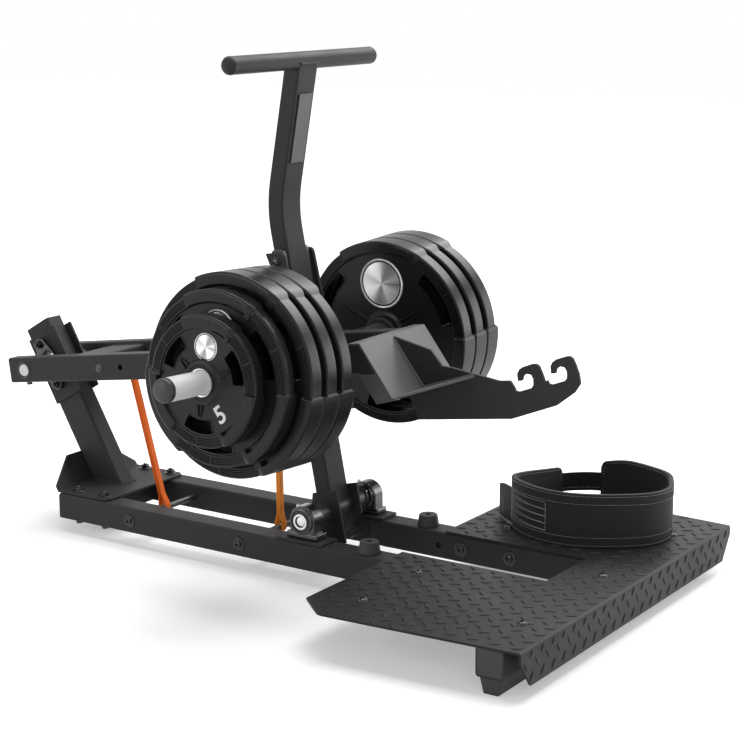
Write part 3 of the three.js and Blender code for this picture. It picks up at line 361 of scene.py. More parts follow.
rail_inner, rail_outer, rail_foot, rail_top = 86.5, 146.5, 33.0, 93.0
rail_middle, rail_axis = (rail_inner + rail_outer) / 2, (rail_foot + rail_top) / 2
rail_length = 1332.7
for side, sign in near_and_far:
    inner, outer = sorted((sign * rail_inner, sign * rail_outer))
    rail = box_tube((0, inner, rail_foot), (rail_length, outer, rail_top), axis=0)
    hole = moved(rod(7.0, sign * rail_inner - 8, sign * rail_inner + 8), 911, 0, rail_axis)
    as_piece(drilled(rail, hole), f"rail_{side}_tube", powder_coat, "base_frame", [f"rail_{side}"])
    plug = eased(slab((-1.0, inner + 2.5, rail_foot + 2.5), (12, outer - 2.5, rail_top - 2.5)), 2.5, 3)
    as_piece(plug, f"rail_{side}_end_plug", plug_plastic, "base_frame")
    pad = eased(slab((641, inner + 0.5, rail_top - 0.1), (763, outer - 0.5, 99)), 1.2)
    as_piece(pad, f"rail_{side}_bearing_pad", powder_coat, "base_frame")


# Black steel fasteners: hex bolts on wide washers hold the base plate to the rails, button-head
# screws hold the platform, and socket screws stand on the bearings. Each is black-oxide steel,
# turned and broached, with a nut below where it goes right through.
black_oxide = finish(
    "black oxide steel", "gloss_black", (0.004, 0.004, 0.0045), (0.010, 0.010, 0.0105), 1500.0, 0.00004, 0.22, 0.05,
)


def turned(profile, steps=48, along="Y"):
    """A lathe-turned solid: profile holds (radius, distance) pairs, from one end to the other"""
    shape = bmesh.new()
    line = [shape.verts.new((radius, 0.0, distance)) for radius, distance in profile]
    edges = [shape.edges.new(pair) for pair in zip(line, line[1:])]
    bmesh.ops.spin(
        shape, geom=line + edges, cent=(0, 0, 0), axis=(0, 0, 1), angle=math.radians(360), steps=steps,
        use_merge=True, use_duplicate=False,
    )
    bmesh.ops.remove_doubles(shape, verts=shape.verts[:], dist=0.003)
    return laid(shape, along)


def combined(*shapes):
    whole = bmesh.new()
    for shape in shapes:
        mesh = as_mesh(shape, "joining")
        whole.from_mesh(mesh)
        bpy.data.meshes.remove(mesh)
    return whole


def aimed(point, direction):
    return Matrix.Translation(point) @ Vector(direction).to_track_quat("Z", "Y").to_matrix().to_4x4()


def hexagon(across_flats, low, high):
    shape = bmesh.new()
    radius = across_flats / math.sqrt(3)
    bmesh.ops.create_cone(shape, cap_ends=True, segments=6, radius1=radius, radius2=radius, depth=high - low)
    bmesh.ops.translate(shape, vec=(0, 0, (low + high) / 2), verts=shape.verts)
    rounded(shape, [e for e in shape.edges if min(v.co.z for v in e.verts) > high - 0.01], 1.0, 2)
    return shape


def washer(radius, thickness):
    return turned(
        [(0, 0), (radius, 0), (radius, thickness * 0.7), (radius - thickness * 0.3, thickness), (0, thickness)],
        steps=32, along="Z",
    )


def hex_bolt(across_flats, washer_radius, stud):
    head_foot, head = 2.5, 7.0
    stud_radius, stud_top = across_flats * 0.3, head_foot + 6 + stud
    return combined(
        washer(washer_radius, head_foot),
        hexagon(across_flats, head_foot, head_foot + head),
        turned(
            [(0, head_foot + 6), (stud_radius, head_foot + 6), (stud_radius, stud_top),
             (across_flats * 0.22, stud_top + 1.2), (0, stud_top + 1.2)], steps=20, along="Z",
        ),
    )


def nut(washer_radius, thickness, across_flats, top):
    return combined(washer(washer_radius, thickness), hexagon(across_flats, thickness, top))


def socket_screw(head, height, socket, washer_radius=0.0):
    foot = 2.2 if washer_radius else 0.0
    top = foot + height
    bowl = turned([
        (0, top - socket), (socket, top - socket), (socket, top), (head * 0.62, top - 0.3),
        (head * 0.9, foot + height * 0.55), (head, foot), (0, foot),
    ], steps=28, along="Z")
    return combined(bowl, washer(washer_radius, foot)) if washer_radius else bowl


# Base plate: 6 mm steel folded up at its rear to back the post, bolted over both rails by four
# bolts with nuts below the rails. Its flange is cut to a trapezium, its front corners are rounded.
def from_node(node):
    """A CAD node's own mesh in millimetres, merged to plain faces"""
    shape = bmesh.new()
    shape.from_mesh(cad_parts[node].data)
    shape.transform(bench.inverted())
    bmesh.ops.remove_doubles(shape, verts=shape.verts[:], dist=0.02)
    bmesh.ops.dissolve_limit(
        shape, angle_limit=math.radians(2.5), use_dissolve_boundaries=False,
        verts=shape.verts[:], edges=shape.edges[:],
    )
    return shape


def eased_node(node, radius, material, body, name, segments=2, sharper_than=25.0):
    as_piece(eased(from_node(node), radius, segments, sharper_than), f"{node}_{name}", material, body, [node])


base_plate_top = 99.0
eased_node("base_plate", 1.4, powder_coat, "base_frame", "steel")
for x in (38, 119):
    for side, sign in near_and_far:
        bolt = moved(hex_bolt(17.0, 15.0, 3.0), x, sign * 120, base_plate_top)
        under = placed(nut(11.0, 2.0, 15.0, 12.0), aimed((x, sign * 120, rail_foot + 0.2), (0, 0, -1)))
        as_piece(combined(bolt, under), f"base_bolt_{side}_{x}", black_oxide, "base_frame")


# Post: 80 x 50 mm tube leaning back 30 degrees, closed at its top by a welded cap, with a bearing
# plate welded on each side near the top and a fillet weld round its foot.
post_x, post_lean, post_deep, post_wide = 41.0, math.radians(30), 80, 50
post_place = Matrix.Translation((post_x, 0.0, base_plate_top)) @ Matrix.Rotation(-post_lean, 4, "Y")
post = slab((-post_deep / 2, -post_wide / 2, -60), (post_deep / 2, post_wide / 2, 420))
rounded(post, edges_along(post, 2), 6.0, 4)
rounded(post, [e for e in post.edges if min(v.co.z for v in e.verts) > 419], 1.2, 2)
post.transform(post_place)
bmesh.ops.bisect_plane(
    post, geom=post.verts[:] + post.edges[:] + post.faces[:],
    plane_co=(0, 0, base_plate_top - 0.4), plane_no=(0, 0, 1), clear_inner=True,
)
as_piece(post, "post_tube", powder_coat, "base_frame", ["post"])
for side, sign in near_and_far:
    low, high = sorted((sign * 24.5, sign * 31.0))
    bearing_plate = eased(slab((-40, low, 224), (56, high, 394)), 1.3)
    as_piece(bearing_plate, f"post_bearing_plate_{side}", powder_coat, "base_frame", place=post_place)


def weld_bead(path, radius, name, body, closed=True, place=Matrix(), material=powder_coat):
    """A fillet of ripples, laid along straight stretches between the given points"""
    points = [Vector(p) for p in path] + ([Vector(path[0])] if closed else [])
    centres = []
    for a, b in zip(points, points[1:]):
        count = max(2, round((b - a).length / 2.2))
        centres += [a.lerp(b, i / count) for i in range(count)]
    if not closed:
        centres.append(points[-1])
    shape = bmesh.new()
    loops = []
    for i, centre in enumerate(centres):
        before = centres[i - 1] if i or closed else centre
        after = centres[(i + 1) % len(centres)] if i < len(centres) - 1 or closed else centre
        swell = radius * (1.0 + 0.10 * math.cos(i * math.pi) + 0.05 * math.sin(i * 1.7))
        turn = aimed(centre, (after - before).normalized())
        loops.append(bmesh.ops.create_circle(shape, cap_ends=False, segments=8, radius=swell, matrix=turn)["verts"])
    for first, second in list(zip(loops, loops[1:])) + ([(loops[-1], loops[0])] if closed else []):
        edges = [e for loop in (first, second) for v in loop for e in v.link_edges if e.other_vert(v) in loop]
        bmesh.ops.bridge_loops(shape, edges=list(dict.fromkeys(edges)))
    if not closed:
        bmesh.ops.holes_fill(shape, edges=shape.edges, sides=8)
    as_piece(shape, name, material, body, place=place, smooth=60.0, weighted=False)


foot_long = post_deep / math.cos(post_lean) / 2
corners = [(-1, -1), (1, -1), (1, 1), (-1, 1)]
weld_bead(
    [(post_x + a * foot_long, b * post_wide / 2, base_plate_top + 0.5) for a, b in corners],
    3.2, "post_foot_weld", "base_frame",
)


# Flange bearings: glossy black cast housings on the post's bearing plates, each with two bolts, a
# raised boss round a steel ball bearing, and a grease nipple. The shaft turns in them.
cast_black = finish(
    "gloss black casting", "gloss_black", (0.006, 0.006, 0.007), (0.012, 0.012, 0.013),
    420.0, 0.00045, 0.20, 0.05, coat=0.5,
)
bright_steel = finish(
    "bright bearing steel", "brushed_steel", (0.55, 0.55, 0.56), (0.68, 0.68, 0.68),
    900.0, 0.00003, 0.26, 0.05, metallic=1.0,
)


def hulled(points, segments):
    """The hull of circles that stand across the machine: x, y, z and radius, which is 0 for a corner"""
    shape = bmesh.new()
    for x, y, z, radius in points:
        if radius:
            stood = Matrix.Translation((x, y, z)) @ Matrix.Rotation(math.radians(90), 4, "X")
            bmesh.ops.create_circle(shape, segments=segments, radius=radius, matrix=stood)
        else:
            shape.verts.new((x, y, z))
    hull = bmesh.ops.convex_hull(shape, input=shape.verts[:])
    loose = [g for g in hull["geom_interior"] + hull["geom_unused"] if isinstance(g, bmesh.types.BMVert)]
    bmesh.ops.delete(shape, geom=list(set(loose)), context="VERTS")
    bmesh.ops.dissolve_limit(shape, angle_limit=math.radians(1), verts=shape.verts[:], edges=shape.edges[:])
    return shape


def to_side(shape, sign):
    """Turns a shape made for the far side over to the near side"""
    return placed(shape, Matrix.Rotation(math.radians(180), 4, "X")) if sign < 0 else shape


pivot_place = post_place @ Matrix.Translation((0, 0, 316.8))
bolt_reach = 53
for side, sign in near_and_far:
    name = f"pivot_bearing_{side}"
    flange = eased(hulled([
        (0, sign * level, centre, radius)
        for centre, radius in ((-bolt_reach, 14), (0, 33), (bolt_reach, 14)) for level in (31.3, 43.3)
    ], 40), 2.0, 3, 40.0)
    boss = turned([(17.4, 43), (32, 43), (28, 47), (27, 52), (25.5, 55.3), (22, 55.3), (21, 53.5), (17.4, 53.5)])
    housing = combined(flange, to_side(boss, sign))
    as_piece(housing, f"{name}_housing", cast_black, "base_frame", [name], place=pivot_place)
    ring = turned([(15.4, 52.5), (21.0, 52.5), (21.0, 54.3), (19.5, 54.8), (19.0, 58.5), (15.4, 58.5)])
    as_piece(to_side(ring, sign), f"{name}_inner_ring", bright_steel, "base_frame", place=pivot_place)
    for end, reach in (("lower", -bolt_reach), ("upper", bolt_reach)):
        bolt = placed(hex_bolt(16.0, 12.5, 5.0), aimed((0, sign * 43.2, reach), (0, sign, 0)))
        as_piece(bolt, f"{name}_bolt_{end}", black_oxide, "base_frame", place=pivot_place)
    nipple = turned([(0, 0), (4.2, 0), (4.2, 3), (2.6, 3.6), (3.4, 5), (2.0, 6.6), (0, 7)], steps=16, along="Z")
    placed(nipple, aimed((26, sign * 46, 12), (1, 0, 0.4)))
    as_piece(nipple, f"{name}_grease_nipple", bright_steel, "base_frame", place=pivot_place)


# Cross tubes of the base: the front one carries the platform and is wider than the rails, the
# rear one fits between them. Each end of the front tube has a flat black plug.
front_half = 460
for end, start, half in (("front", 1333, front_half), ("rear", 30, 86.2)):
    tube = box_tube((start, -half, rail_foot), (start + 60, half, rail_top), axis=1)
    as_piece(tube, f"{end}_cross_tube_steel", powder_coat, "base_frame", [f"{end}_cross_tube"])
for side, sign in near_and_far:
    low, high = sorted((sign * (front_half - 10), sign * (front_half + 0.4)))
    plug = eased(slab((1335.6, low, rail_foot + 2.6), (1390.4, high, rail_top - 2.6)), 2.0, 3)
    as_piece(plug, f"front_cross_tube_{side}_plug", plug_plastic, "base_frame")


# Foot strips: black rubber wedges under the cross tubes, moulded with a taper and rounded edges.
# Each is fixed flat against its tube.
foot_rubber = finish(
    "black foot rubber", "black_rubber", (0.014, 0.014, 0.015), (0.024, 0.024, 0.025), 600.0, 0.0002, 0.62, 0.06,
)
for node in ("front_foot", "rear_foot"):
    eased_node(node, 2.2, foot_rubber, "base_frame", "strip", 3)


# Band pegs: steel rods through both rails that the elastic bands loop over. Black plastic sleeves
# cover them between the rails, and a washer and a domed screw end each on the outside.
peg_sleeve = finish(
    "black plastic sleeve", "black_plastic", (0.020, 0.020, 0.021), (0.034, 0.034, 0.035), 700.0, 0.00008, 0.36, 0.05,
)
base_peg_x = {"rear": 219.0, "front": 538.0}
peg_radius, peg_reach = 7, rail_outer + 0.3
for end, x in base_peg_x.items():
    peg = turned([(0, -peg_reach), (peg_radius, -peg_reach), (peg_radius, peg_reach), (0, peg_reach)], steps=32)
    moved(peg, x, 0, rail_axis)
    as_piece(peg, f"base_band_peg_{end}_rod", peg_sleeve, "base_frame", [f"base_band_peg_{end}"])
    for side, sign in near_and_far:
        screw = placed(socket_screw(9.0, 6.5, 3.6, 15.0), aimed((x, sign * 146.6, rail_axis), (0, sign, 0)))
        as_piece(screw, f"base_band_peg_{end}_screw_{side}", black_oxide, "base_frame")


# Stop pin for the lever: a short flanged steel pin welded inside the far rail, painted black.
# The tail of the lever's far cheek comes to rest against it.
pin = turned([
    (0, 31), (10, 31), (11, 32), (11, 76), (13.5, 81.5), (21.5, 82.2), (22.5, 83.2), (22.5, 86.2), (0, 86.2),
])
moved(pin, 704, 0, 66)
as_piece(pin, "lever_stop_pin_turned", powder_coat, "base_frame", ["lever_stop_pin"])


# Pillow blocks: glossy cast iron housings screwed to the rails' pads, each with a ball bearing, a
# raised seal ring, a grease nipple, an inner ring that stands proud, and two base bolts.
hub_x, hub_z, block_half = 702, 139, 19
for side, sign in near_and_far:
    name = f"pillow_block_{side}"
    middle = sign * rail_middle
    low, high = middle - block_half, middle + block_half
    outline = []
    for level in (low + 1.5, high - 1.5):
        outline += [(hub_x, level, hub_z, 33), (hub_x - 33, level, 101, 0), (hub_x + 33, level, 101, 0)]
    arch = eased(hulled(outline, 48), 4.0, 4, 40.0)
    sole = eased(slab((hub_x - 41, low, 99.3), (hub_x + 41, high, 113.3)), 3.5, 3)
    bosses = moved(combined(*(
        to_side(turned([
            (17.5, 17), (29, 17), (28.5, 21.5), (26.5, 22.6), (25.0, 22.6), (24.2, 20.5), (17.5, 20.5),
        ]), facing) for facing in (1, -1)
    )), hub_x, middle, hub_z)
    as_piece(combined(arch, sole, bosses), f"{name}_casting", cast_black, "base_frame", [name])
    ring = turned([(12.8, -24.5), (17.2, -24.5), (17.6, -23.8), (17.6, 23.8), (17.2, 24.5), (12.8, 24.5)])
    seal = turned([(18.1, -20.9), (24.2, -20.9), (24.2, 20.9), (18.1, 20.9)])
    as_piece(moved(ring, hub_x, middle, hub_z), f"{name}_inner_ring", bright_steel, "release_lever")
    as_piece(moved(seal, hub_x, middle, hub_z), f"{name}_seal", foot_rubber, "base_frame")
    nipple = turned([(0, 0), (5, 0), (5, 3), (3, 3.6), (3.9, 5.2), (2.4, 7), (0, 7.4)], steps=16, along="Z")
    placed(nipple, aimed((hub_x - 20, middle, hub_z + 25), (-0.62, 0, 0.78)))
    as_piece(nipple, f"{name}_grease_nipple", bright_steel, "base_frame")


# Bumpers: tapered black rubber cones on the rails, where the lowered arm lands, each held by a
# screw sunk in the middle of its top.
for side, sign in near_and_far:
    bumper = turned([
        (0, 93.3), (23, 93.3), (24, 94.3), (23.7, 97), (20.6, 117), (19.2, 119.2), (7.2, 119.2), (6.6, 118.6),
        (6.6, 113), (0, 113),
    ], along="Z")
    moved(bumper, 866, sign * rail_middle, 0)
    as_piece(bumper, f"bumper_{side}_cone", foot_rubber, "base_frame", [f"bumper_{side}"])
    screw = moved(socket_screw(6.2, 3.5, 2.6), 866, sign * rail_middle, 113)
    as_piece(screw, f"bumper_{side}_screw", black_oxide, "base_frame")


# Outriggers: short tubes bolted to the rails under the platform's wings, each through a flat
# plate. Two bolts go right through each rail, and show on its inner face with wide washers.
for side, sign in near_and_far:
    eased_node(f"outrigger_{side}", 1.2, powder_coat, "base_frame", "steel")
    for x, z in ((969, 63), (1091, 64)):
        bolt = placed(socket_screw(8.5, 6.0, 3.4, 16.5), aimed((x, sign * 86.4, z), (0, -sign, 0)))
        as_piece(bolt, f"outrigger_{side}_rail_bolt_{x}", black_oxide, "base_frame")


# Standing platform: one 5 mm sheet of tread plate, cut to a wide hexagon with an opening between
# the feet, and folded down along its front. Lens-shaped bars are rolled into it in two directions,
# and it is screwed to the outriggers and the front tube.
deck_skin = finish(
    "satin tread coat", "checker_plate", (0.0105, 0.0105, 0.0108), (0.0175, 0.0175, 0.018),
    1100.0, 0.00018, 0.42, 0.05, specular=0.16,
)
deck_level, deck_rear, deck_front, bend = 98.3, 930, 1432.5, 10.0
opening_end, opening_half = 1275.0, 86.5
deck = from_node("platform")
front_edge = [
    e for e in deck.edges
    if all(v.co.x > deck_front - 0.5 and v.co.z > 98.0 for v in e.verts)
    and abs(e.verts[0].co.y - e.verts[1].co.y) > 100
]
rounded(deck, front_edge, bend, 6)
as_piece(eased(deck, 0.9, 2, 40.0), "platform_tread_plate", deck_skin, "base_frame", ["platform"])


def tread_bar():
    bar_half, bar_wide, bar_high, sunk = 13.5, 3.8, 2.3, 0.35
    bar = bmesh.new()
    bmesh.ops.create_uvsphere(bar, u_segments=12, v_segments=6, radius=1.0)
    bmesh.ops.delete(bar, geom=[v for v in bar.verts if v.co.z < -0.01], context="VERTS")
    for v in bar.verts:
        x, y, z = v.co
        v.co = Vector((bar_half * x, bar_wide * y * (1.0 - 0.45 * x ** 2), bar_high * z - sunk))
    return as_mesh(bar, "tread_bar")


def on_deck(x, y, margin=7.0):
    """Whether a bar fits there between the hexagon's cut edges and the opening"""
    half = 432 + (x - deck_rear) * (487 - 432) / 63 if x < 993 else 492 - (x - 1006) * 26 / 426.5
    inside = x > deck_rear + margin * 1.6 and abs(y) < half - margin * 1.3
    return inside and not (x < opening_end + margin * 1.6 and abs(y) < opening_half + margin)


def round_the_bend(s, y):
    """Where a point lies, s along the sheet from its rear and over the fold, with the sheet's tilt there"""
    start = deck_front - bend
    if s <= start:
        return Matrix.Translation((s, y, deck_level))
    turn = min((s - start) / bend, math.pi / 2)
    down = max(0.0, s - start - bend * math.pi / 2)
    place = (start + bend * math.sin(turn), y, deck_level - bend * (1 - math.cos(turn)) - down)
    return Matrix.Translation(place) @ Matrix.Rotation(turn, 4, "Y")


bars = bmesh.new()
bar_mesh = tread_bar()
bar_pitch, row_pitch = 46.8, 41.4
for turn, first_s, first_y in ((-37.0, 1204.0, -264.0), (33.0, 1227.0, -285.0)):
    for i in range(-8, 8):
        for j in range(-20, 20):
            s, y = first_s + bar_pitch * i + 0.2 * j, first_y + row_pitch * j + 0.6 * i
            over = s - (deck_front - bend)
            drop = over - bend * math.pi / 2
            on_flap = over >= -6 and drop < 56 and abs(y) < 458 - max(0.0, drop - 10) * 0.75
            if not (on_flap or over < -6 and on_deck(s, y)):
                continue
            first = len(bars.verts)
            bars.from_mesh(bar_mesh)
            bars.verts.ensure_lookup_table()
            place = Matrix.Translation((s, y, 0)) @ Matrix.Rotation(math.radians(turn), 4, "Z")
            for v in bars.verts[first:]:
                flat = place @ v.co
                v.co = round_the_bend(flat.x, flat.y) @ Vector((0, 0, flat.z))
bpy.data.meshes.remove(bar_mesh)
bars.transform(bench)
name = "platform_tread_bars"
shown(as_mesh(bars, name), name, deck_skin, "base_frame", smooth=80.0, weighted=False)


def deck_screw(name, x, y):
    as_piece(moved(socket_screw(10.5, 5.4, 3.8), x, y, deck_level), name, black_oxide, "base_frame")


for x, y in ((1032, 385), (1032, 186), (1357, 330)):
    for side, sign in near_and_far:
        deck_screw(f"platform_screw_{side}_{x}_{y}", x, sign * y)
deck_screw("platform_screw_middle", 1357, 0)


# Lever arm: two 60 x 40 mm side tubes that turn on the post's shaft, joined by a wide rear cross
# member and a slim middle beam. Their front ends are cut to the slope of the bracket's web.
arm_place = Matrix.Translation((-117.4, 0.0, 373.357)) @ Matrix.Rotation(math.radians(-8), 4, "Y")
web_foot, web_top = Vector((1046.5, 0, -81)), Vector((984, 0, 30))
web_way = (web_foot - web_top).normalized()
web_out = Vector((-web_way.z, 0, web_way.x))
arm_inner, arm_outer, arm_half, arm_wall = 85, 125, 30, 3
arm_rear_end, arm_front_end, side_hole_u, side_hole_radius = -47, 1060, 307.6, 6.5
for side, sign in near_and_far:
    low, high = sorted((sign * arm_inner, sign * arm_outer))
    tube = slab((arm_rear_end, low, -arm_half), (arm_front_end, high, arm_half))
    rounded(tube, edges_along(tube, 0), 5.5, 4)
    bmesh.ops.bisect_plane(
        tube, geom=tube.verts[:] + tube.edges[:] + tube.faces[:],
        plane_co=web_top - web_out * 5.3, plane_no=web_out, clear_outer=True,
    )
    bmesh.ops.holes_fill(tube, edges=tube.edges, sides=0)
    hole = moved(rod(side_hole_radius, sign * 126 - 22, sign * 126 + 22), side_hole_u, 0, 0)
    hollow = slab((250, low + arm_wall, arm_wall - arm_half), (360, high - arm_wall, arm_half - arm_wall))
    tube = drilled(tube, hollow, hole)
    as_piece(tube, f"arm_tube_{side}_steel", powder_coat, "lever_arm", [f"arm_tube_{side}"], place=arm_place)
    plug = slab((arm_rear_end - 1.2, low + 2.5, 2.5 - arm_half), (arm_rear_end + 7, high - 2.5, arm_half - 2.5))
    as_piece(eased(plug, 2.0, 3), f"arm_tube_{side}_rear_plug", plug_plastic, "lever_arm", place=arm_place)

for node, start, length in (("arm_rear_cross_member", 95, 105), ("arm_middle_beam", 682, 34)):
    beam = slab((start, -84.8, -arm_half), (start + length, 84.8, 22))
    rounded(beam, edges_along(beam, 1), 5.0, 4)
    as_piece(beam, f"{node}_steel", powder_coat, "lever_arm", [node], place=arm_place)
    for side, sign in near_and_far:
        seat = [(start + 4, sign * 84.6, 22), (start + length - 4, sign * 84.6, 22)]
        weld_bead(seat, 2.2, f"{node}_weld_{side}", "lever_arm", closed=False, place=arm_place)


# Pivot shaft: a bright turned bar through both arm tubes, its ends countersunk, faced and ringed
# by a black retaining collar on each tube. A clamp screw's nut shows under each tube.
pin_steel = finish(
    "turned pin steel", "brushed_steel", (0.30, 0.30, 0.31), (0.42, 0.42, 0.42),
    900.0, 0.00003, 0.34, 0.05, metallic=1.0,
)


def both_ends(half):
    """A lathe profile that is the same at both ends, from the half that runs out to its far end"""
    return [(radius, -reach) for radius, reach in reversed(half)] + half


shaft = turned(both_ends([(15, 125.4), (13.2, 126.8), (6, 126.8), (5, 125.8), (0, 125.8)]))
as_piece(shaft, "pivot_shaft_turned", pin_steel, "lever_arm", ["pivot_shaft"], place=arm_place)
for side, sign in near_and_far:
    ring = turned([(15.2, 124.6), (20.5, 124.6), (20.5, 126.2), (19.6, 127.0), (16.2, 127.0), (15.2, 126.2)])
    as_piece(to_side(ring, sign), f"pivot_shaft_collar_{side}", black_oxide, "lever_arm", place=arm_place)
    underside = placed(nut(8.0, 1.6, 12.0, 8.0), aimed((-8.0, sign * 105, -arm_half), (0, 0, -1)))
    as_piece(underside, f"pivot_clamp_nut_{side}", black_oxide, "lever_arm", place=arm_place)


# Arm band pegs: rods between the arm tubes that the elastic bands loop over, closed on the outside
# by domed black plastic caps.
arm_peg_u = {"rear": 243.5, "front": 658.5}
for end, u in arm_peg_u.items():
    peg = turned(both_ends([
        (7, 125.3), (10.9, 125.3), (10.4, 126.8), (8, 128.8), (4, 130.2), (0, 130.6),
    ]), steps=32)
    node = f"arm_band_peg_{end}"
    as_piece(moved(peg, u, 0, 0), f"{node}_capped", peg_sleeve, "lever_arm", [node], place=arm_place)


# Weight horns: a short 60 mm tube with a thick collar is welded square to each arm tube, tipped up
# a little. A core bar carries a brushed steel sleeve for 50 mm plates, capped in black plastic.
def brushed_metal(name, slot, tint_low, tint_high, along, roughness, metallic):
    """Steel with fine lines along one way of the piece"""
    made, tree, shader = new_material(name, slot, metallic)
    place = add_node(tree, "TexCoord")
    stretch = add_node(tree, "Mapping", {"Scale": along})
    lines = add_node(tree, "TexNoise", {"Scale": 1.0, "Detail": 4.0})
    tone = add_node(tree, "Mix", {"A": (*tint_low, 1.0), "B": (*tint_high, 1.0)}, data_type="RGBA")
    dull = add_node(tree, "MapRange", {"To Min": roughness - 0.07, "To Max": roughness + 0.10})
    bump = add_node(tree, "Bump", {"Distance": 0.00003})
    wire(
        tree, (place, "Object", stretch, "Vector"), (stretch, "Vector", lines, "Vector"),
        (lines, "Fac", tone, "Factor"), (tone, "Result", shader, "Base Color"), (lines, "Fac", dull, "Value"),
        (dull, "Result", shader, "Roughness"), (lines, "Fac", bump, "Height"), (bump, "Normal", shader, "Normal"),
    )
    return made


def ring_of(radius, level, count, x=0.0, z=0.0):
    """Points on a circle that stands across the machine"""
    turns = [2 * math.pi * i / count for i in range(count)]
    return [(x + radius * math.cos(turn), level, z + radius * math.sin(turn)) for turn in turns]


# Near white and hardly metallic: its brightness is painted reflection, in place of the light that the steel would
# mirror, over real brushed lines
sleeve_steel_painted_reflection = brushed_metal(
    "brushed sleeve steel, painted reflection", "brushed_steel", (0.74, 0.74, 0.74), (0.95, 0.95, 0.95), (60.0, 2600.0, 60.0), 0.34, 0.1,
)
horn_u, horn_tilt = 812, math.radians(2.75)
horn_places = {}
for side, sign in near_and_far:
    horn_place = horn_places[side] = (
        arm_place @ Matrix.Translation((horn_u, sign * arm_outer, 0)) @ Matrix.Rotation(sign * horn_tilt, 4, "X")
        @ Matrix.Rotation(math.radians(180) if sign < 0 else 0.0, 4, "Z")
    )
    stub = turned([
        (0, 0.4), (30, 0.4), (30, 69.5), (33, 70.0), (38.6, 70.0), (40, 71.4), (40, 80.6), (38.6, 82), (19, 82),
        (19, 419.5), (0, 419.5),
    ])
    sleeve = turned([
        (20.5, 82.6), (23.6, 82.6), (24.5, 83.5), (24.5, 419.4), (23.6, 420.3), (20.5, 420.3), (20.5, 82.6),
    ], steps=64)
    cap = turned([
        (0, 420.7), (24.9, 420.7), (25, 421.4), (25, 428.5), (24.6, 430.6), (23.2, 433.4), (20.4, 435.6),
        (15, 437.4), (8, 438.4), (0, 438.6),
    ])
    as_piece(stub, f"weight_horn_{side}_stub", powder_coat, "lever_arm", [f"weight_horn_{side}"], place=horn_place)
    weld_bead(ring_of(31, 1.6, 24), 2.6, f"weight_horn_{side}_weld", "lever_arm", place=horn_place)
    as_piece(sleeve, f"horn_sleeve_{side}_tube", sleeve_steel_painted_reflection, "lever_arm", [f"horn_sleeve_{side}"], place=horn_place)
    as_piece(cap, f"horn_cap_{side}_domed", plug_plastic, "lever_arm", [f"horn_cap_{side}"], place=horn_place)


# Front bracket: one folded 5 mm sheet with a ledge on the arm, a sloping web, a tapering shelf and
# two side legs. The hook plate stands in its slot and is welded along both sides.
# A much lighter copy of the frame's powder coat: the extra lightness is painted reflection of the overhead light on the
# bracket and its welds
bracket_coat_painted_reflection = finish(
    "satin bracket coat, painted reflection", "powder_coat", (0.085, 0.085, 0.087), (0.125, 0.125, 0.127),
    1100.0, 0.00018, 0.40, 0.05, specular=0.3,
)
eased_node("front_bracket", 1.2, bracket_coat_painted_reflection, "lever_arm", "sheet", sharper_than=30.0)
eased_node("hook_plate", 1.2, powder_coat, "lever_arm", "steel", sharper_than=40.0)
for side, sign in near_and_far:
    corner_line = [(988, sign * 5.2, 24), (1047.5, sign * 5.2, -79.5), (1172, sign * 5.2, -56.8)]
    weld_bead(
        corner_line, 2.3, f"hook_plate_weld_{side}", "lever_arm", closed=False, place=arm_place,
        material=bracket_coat_painted_reflection,
    )


# Guide cheeks: 8 mm steel plates welded on the middle beam on both sides of the lever, each faced
# with a black plastic wear pad. A steel roller between them rests on the lever's catch block.
pad_plastic = finish(
    "black wear pad", "black_plastic", (0.010, 0.010, 0.011), (0.020, 0.020, 0.021), 500.0, 0.0001, 0.40, 0.05,
)
for side, sign in near_and_far:
    eased_node(f"guide_cheek_{side}", 1.4, powder_coat, "lever_arm", "steel", sharper_than=40.0)
    eased_node(f"guide_pad_{side}", 1.2, pad_plastic, "lever_arm", "block", sharper_than=40.0)
    bolt = placed(socket_screw(8.5, 7.0, 3.6, 11.0), aimed((739, sign * 56.2, 207.7), (0, sign, 0)))
    as_piece(bolt, f"guide_cheek_{side}_bolt", black_oxide, "lever_arm", place=arm_place)
roller = turned(both_ends([(12, 34), (11, 35), (6, 35), (6, 55.4), (5.2, 56.2), (0, 56.2)]))
moved(roller, 712, 0, -46)
as_piece(roller, "catch_roller_turned", sleeve_steel_painted_reflection, "lever_arm", ["catch_roller"], place=arm_place)


# Release lever: a bent 70 x 40 mm tube on a hub between the pillow blocks, with cheek plates at its
# foot, a catch block behind it for the arm's roller, and a 38 mm cross handle welded on top.
lever_foot, lever_bend, lever_top = Vector((694.3, 0, 139)), Vector((563.2, 0, 798)), Vector((618.8, 0, 1104))
bend_reach = 55
lower_way = (lever_bend - lever_foot).normalized()
upper_way = (lever_top - lever_bend).normalized()
centre = [lever_foot]
for i in range(9):
    t = i / 8
    a, b = lever_bend - lower_way * bend_reach, lever_bend + upper_way * bend_reach
    centre.append(a * (1 - t) ** 2 + lever_bend * 2 * t * (1 - t) + b * t ** 2)
centre.append(lever_top)


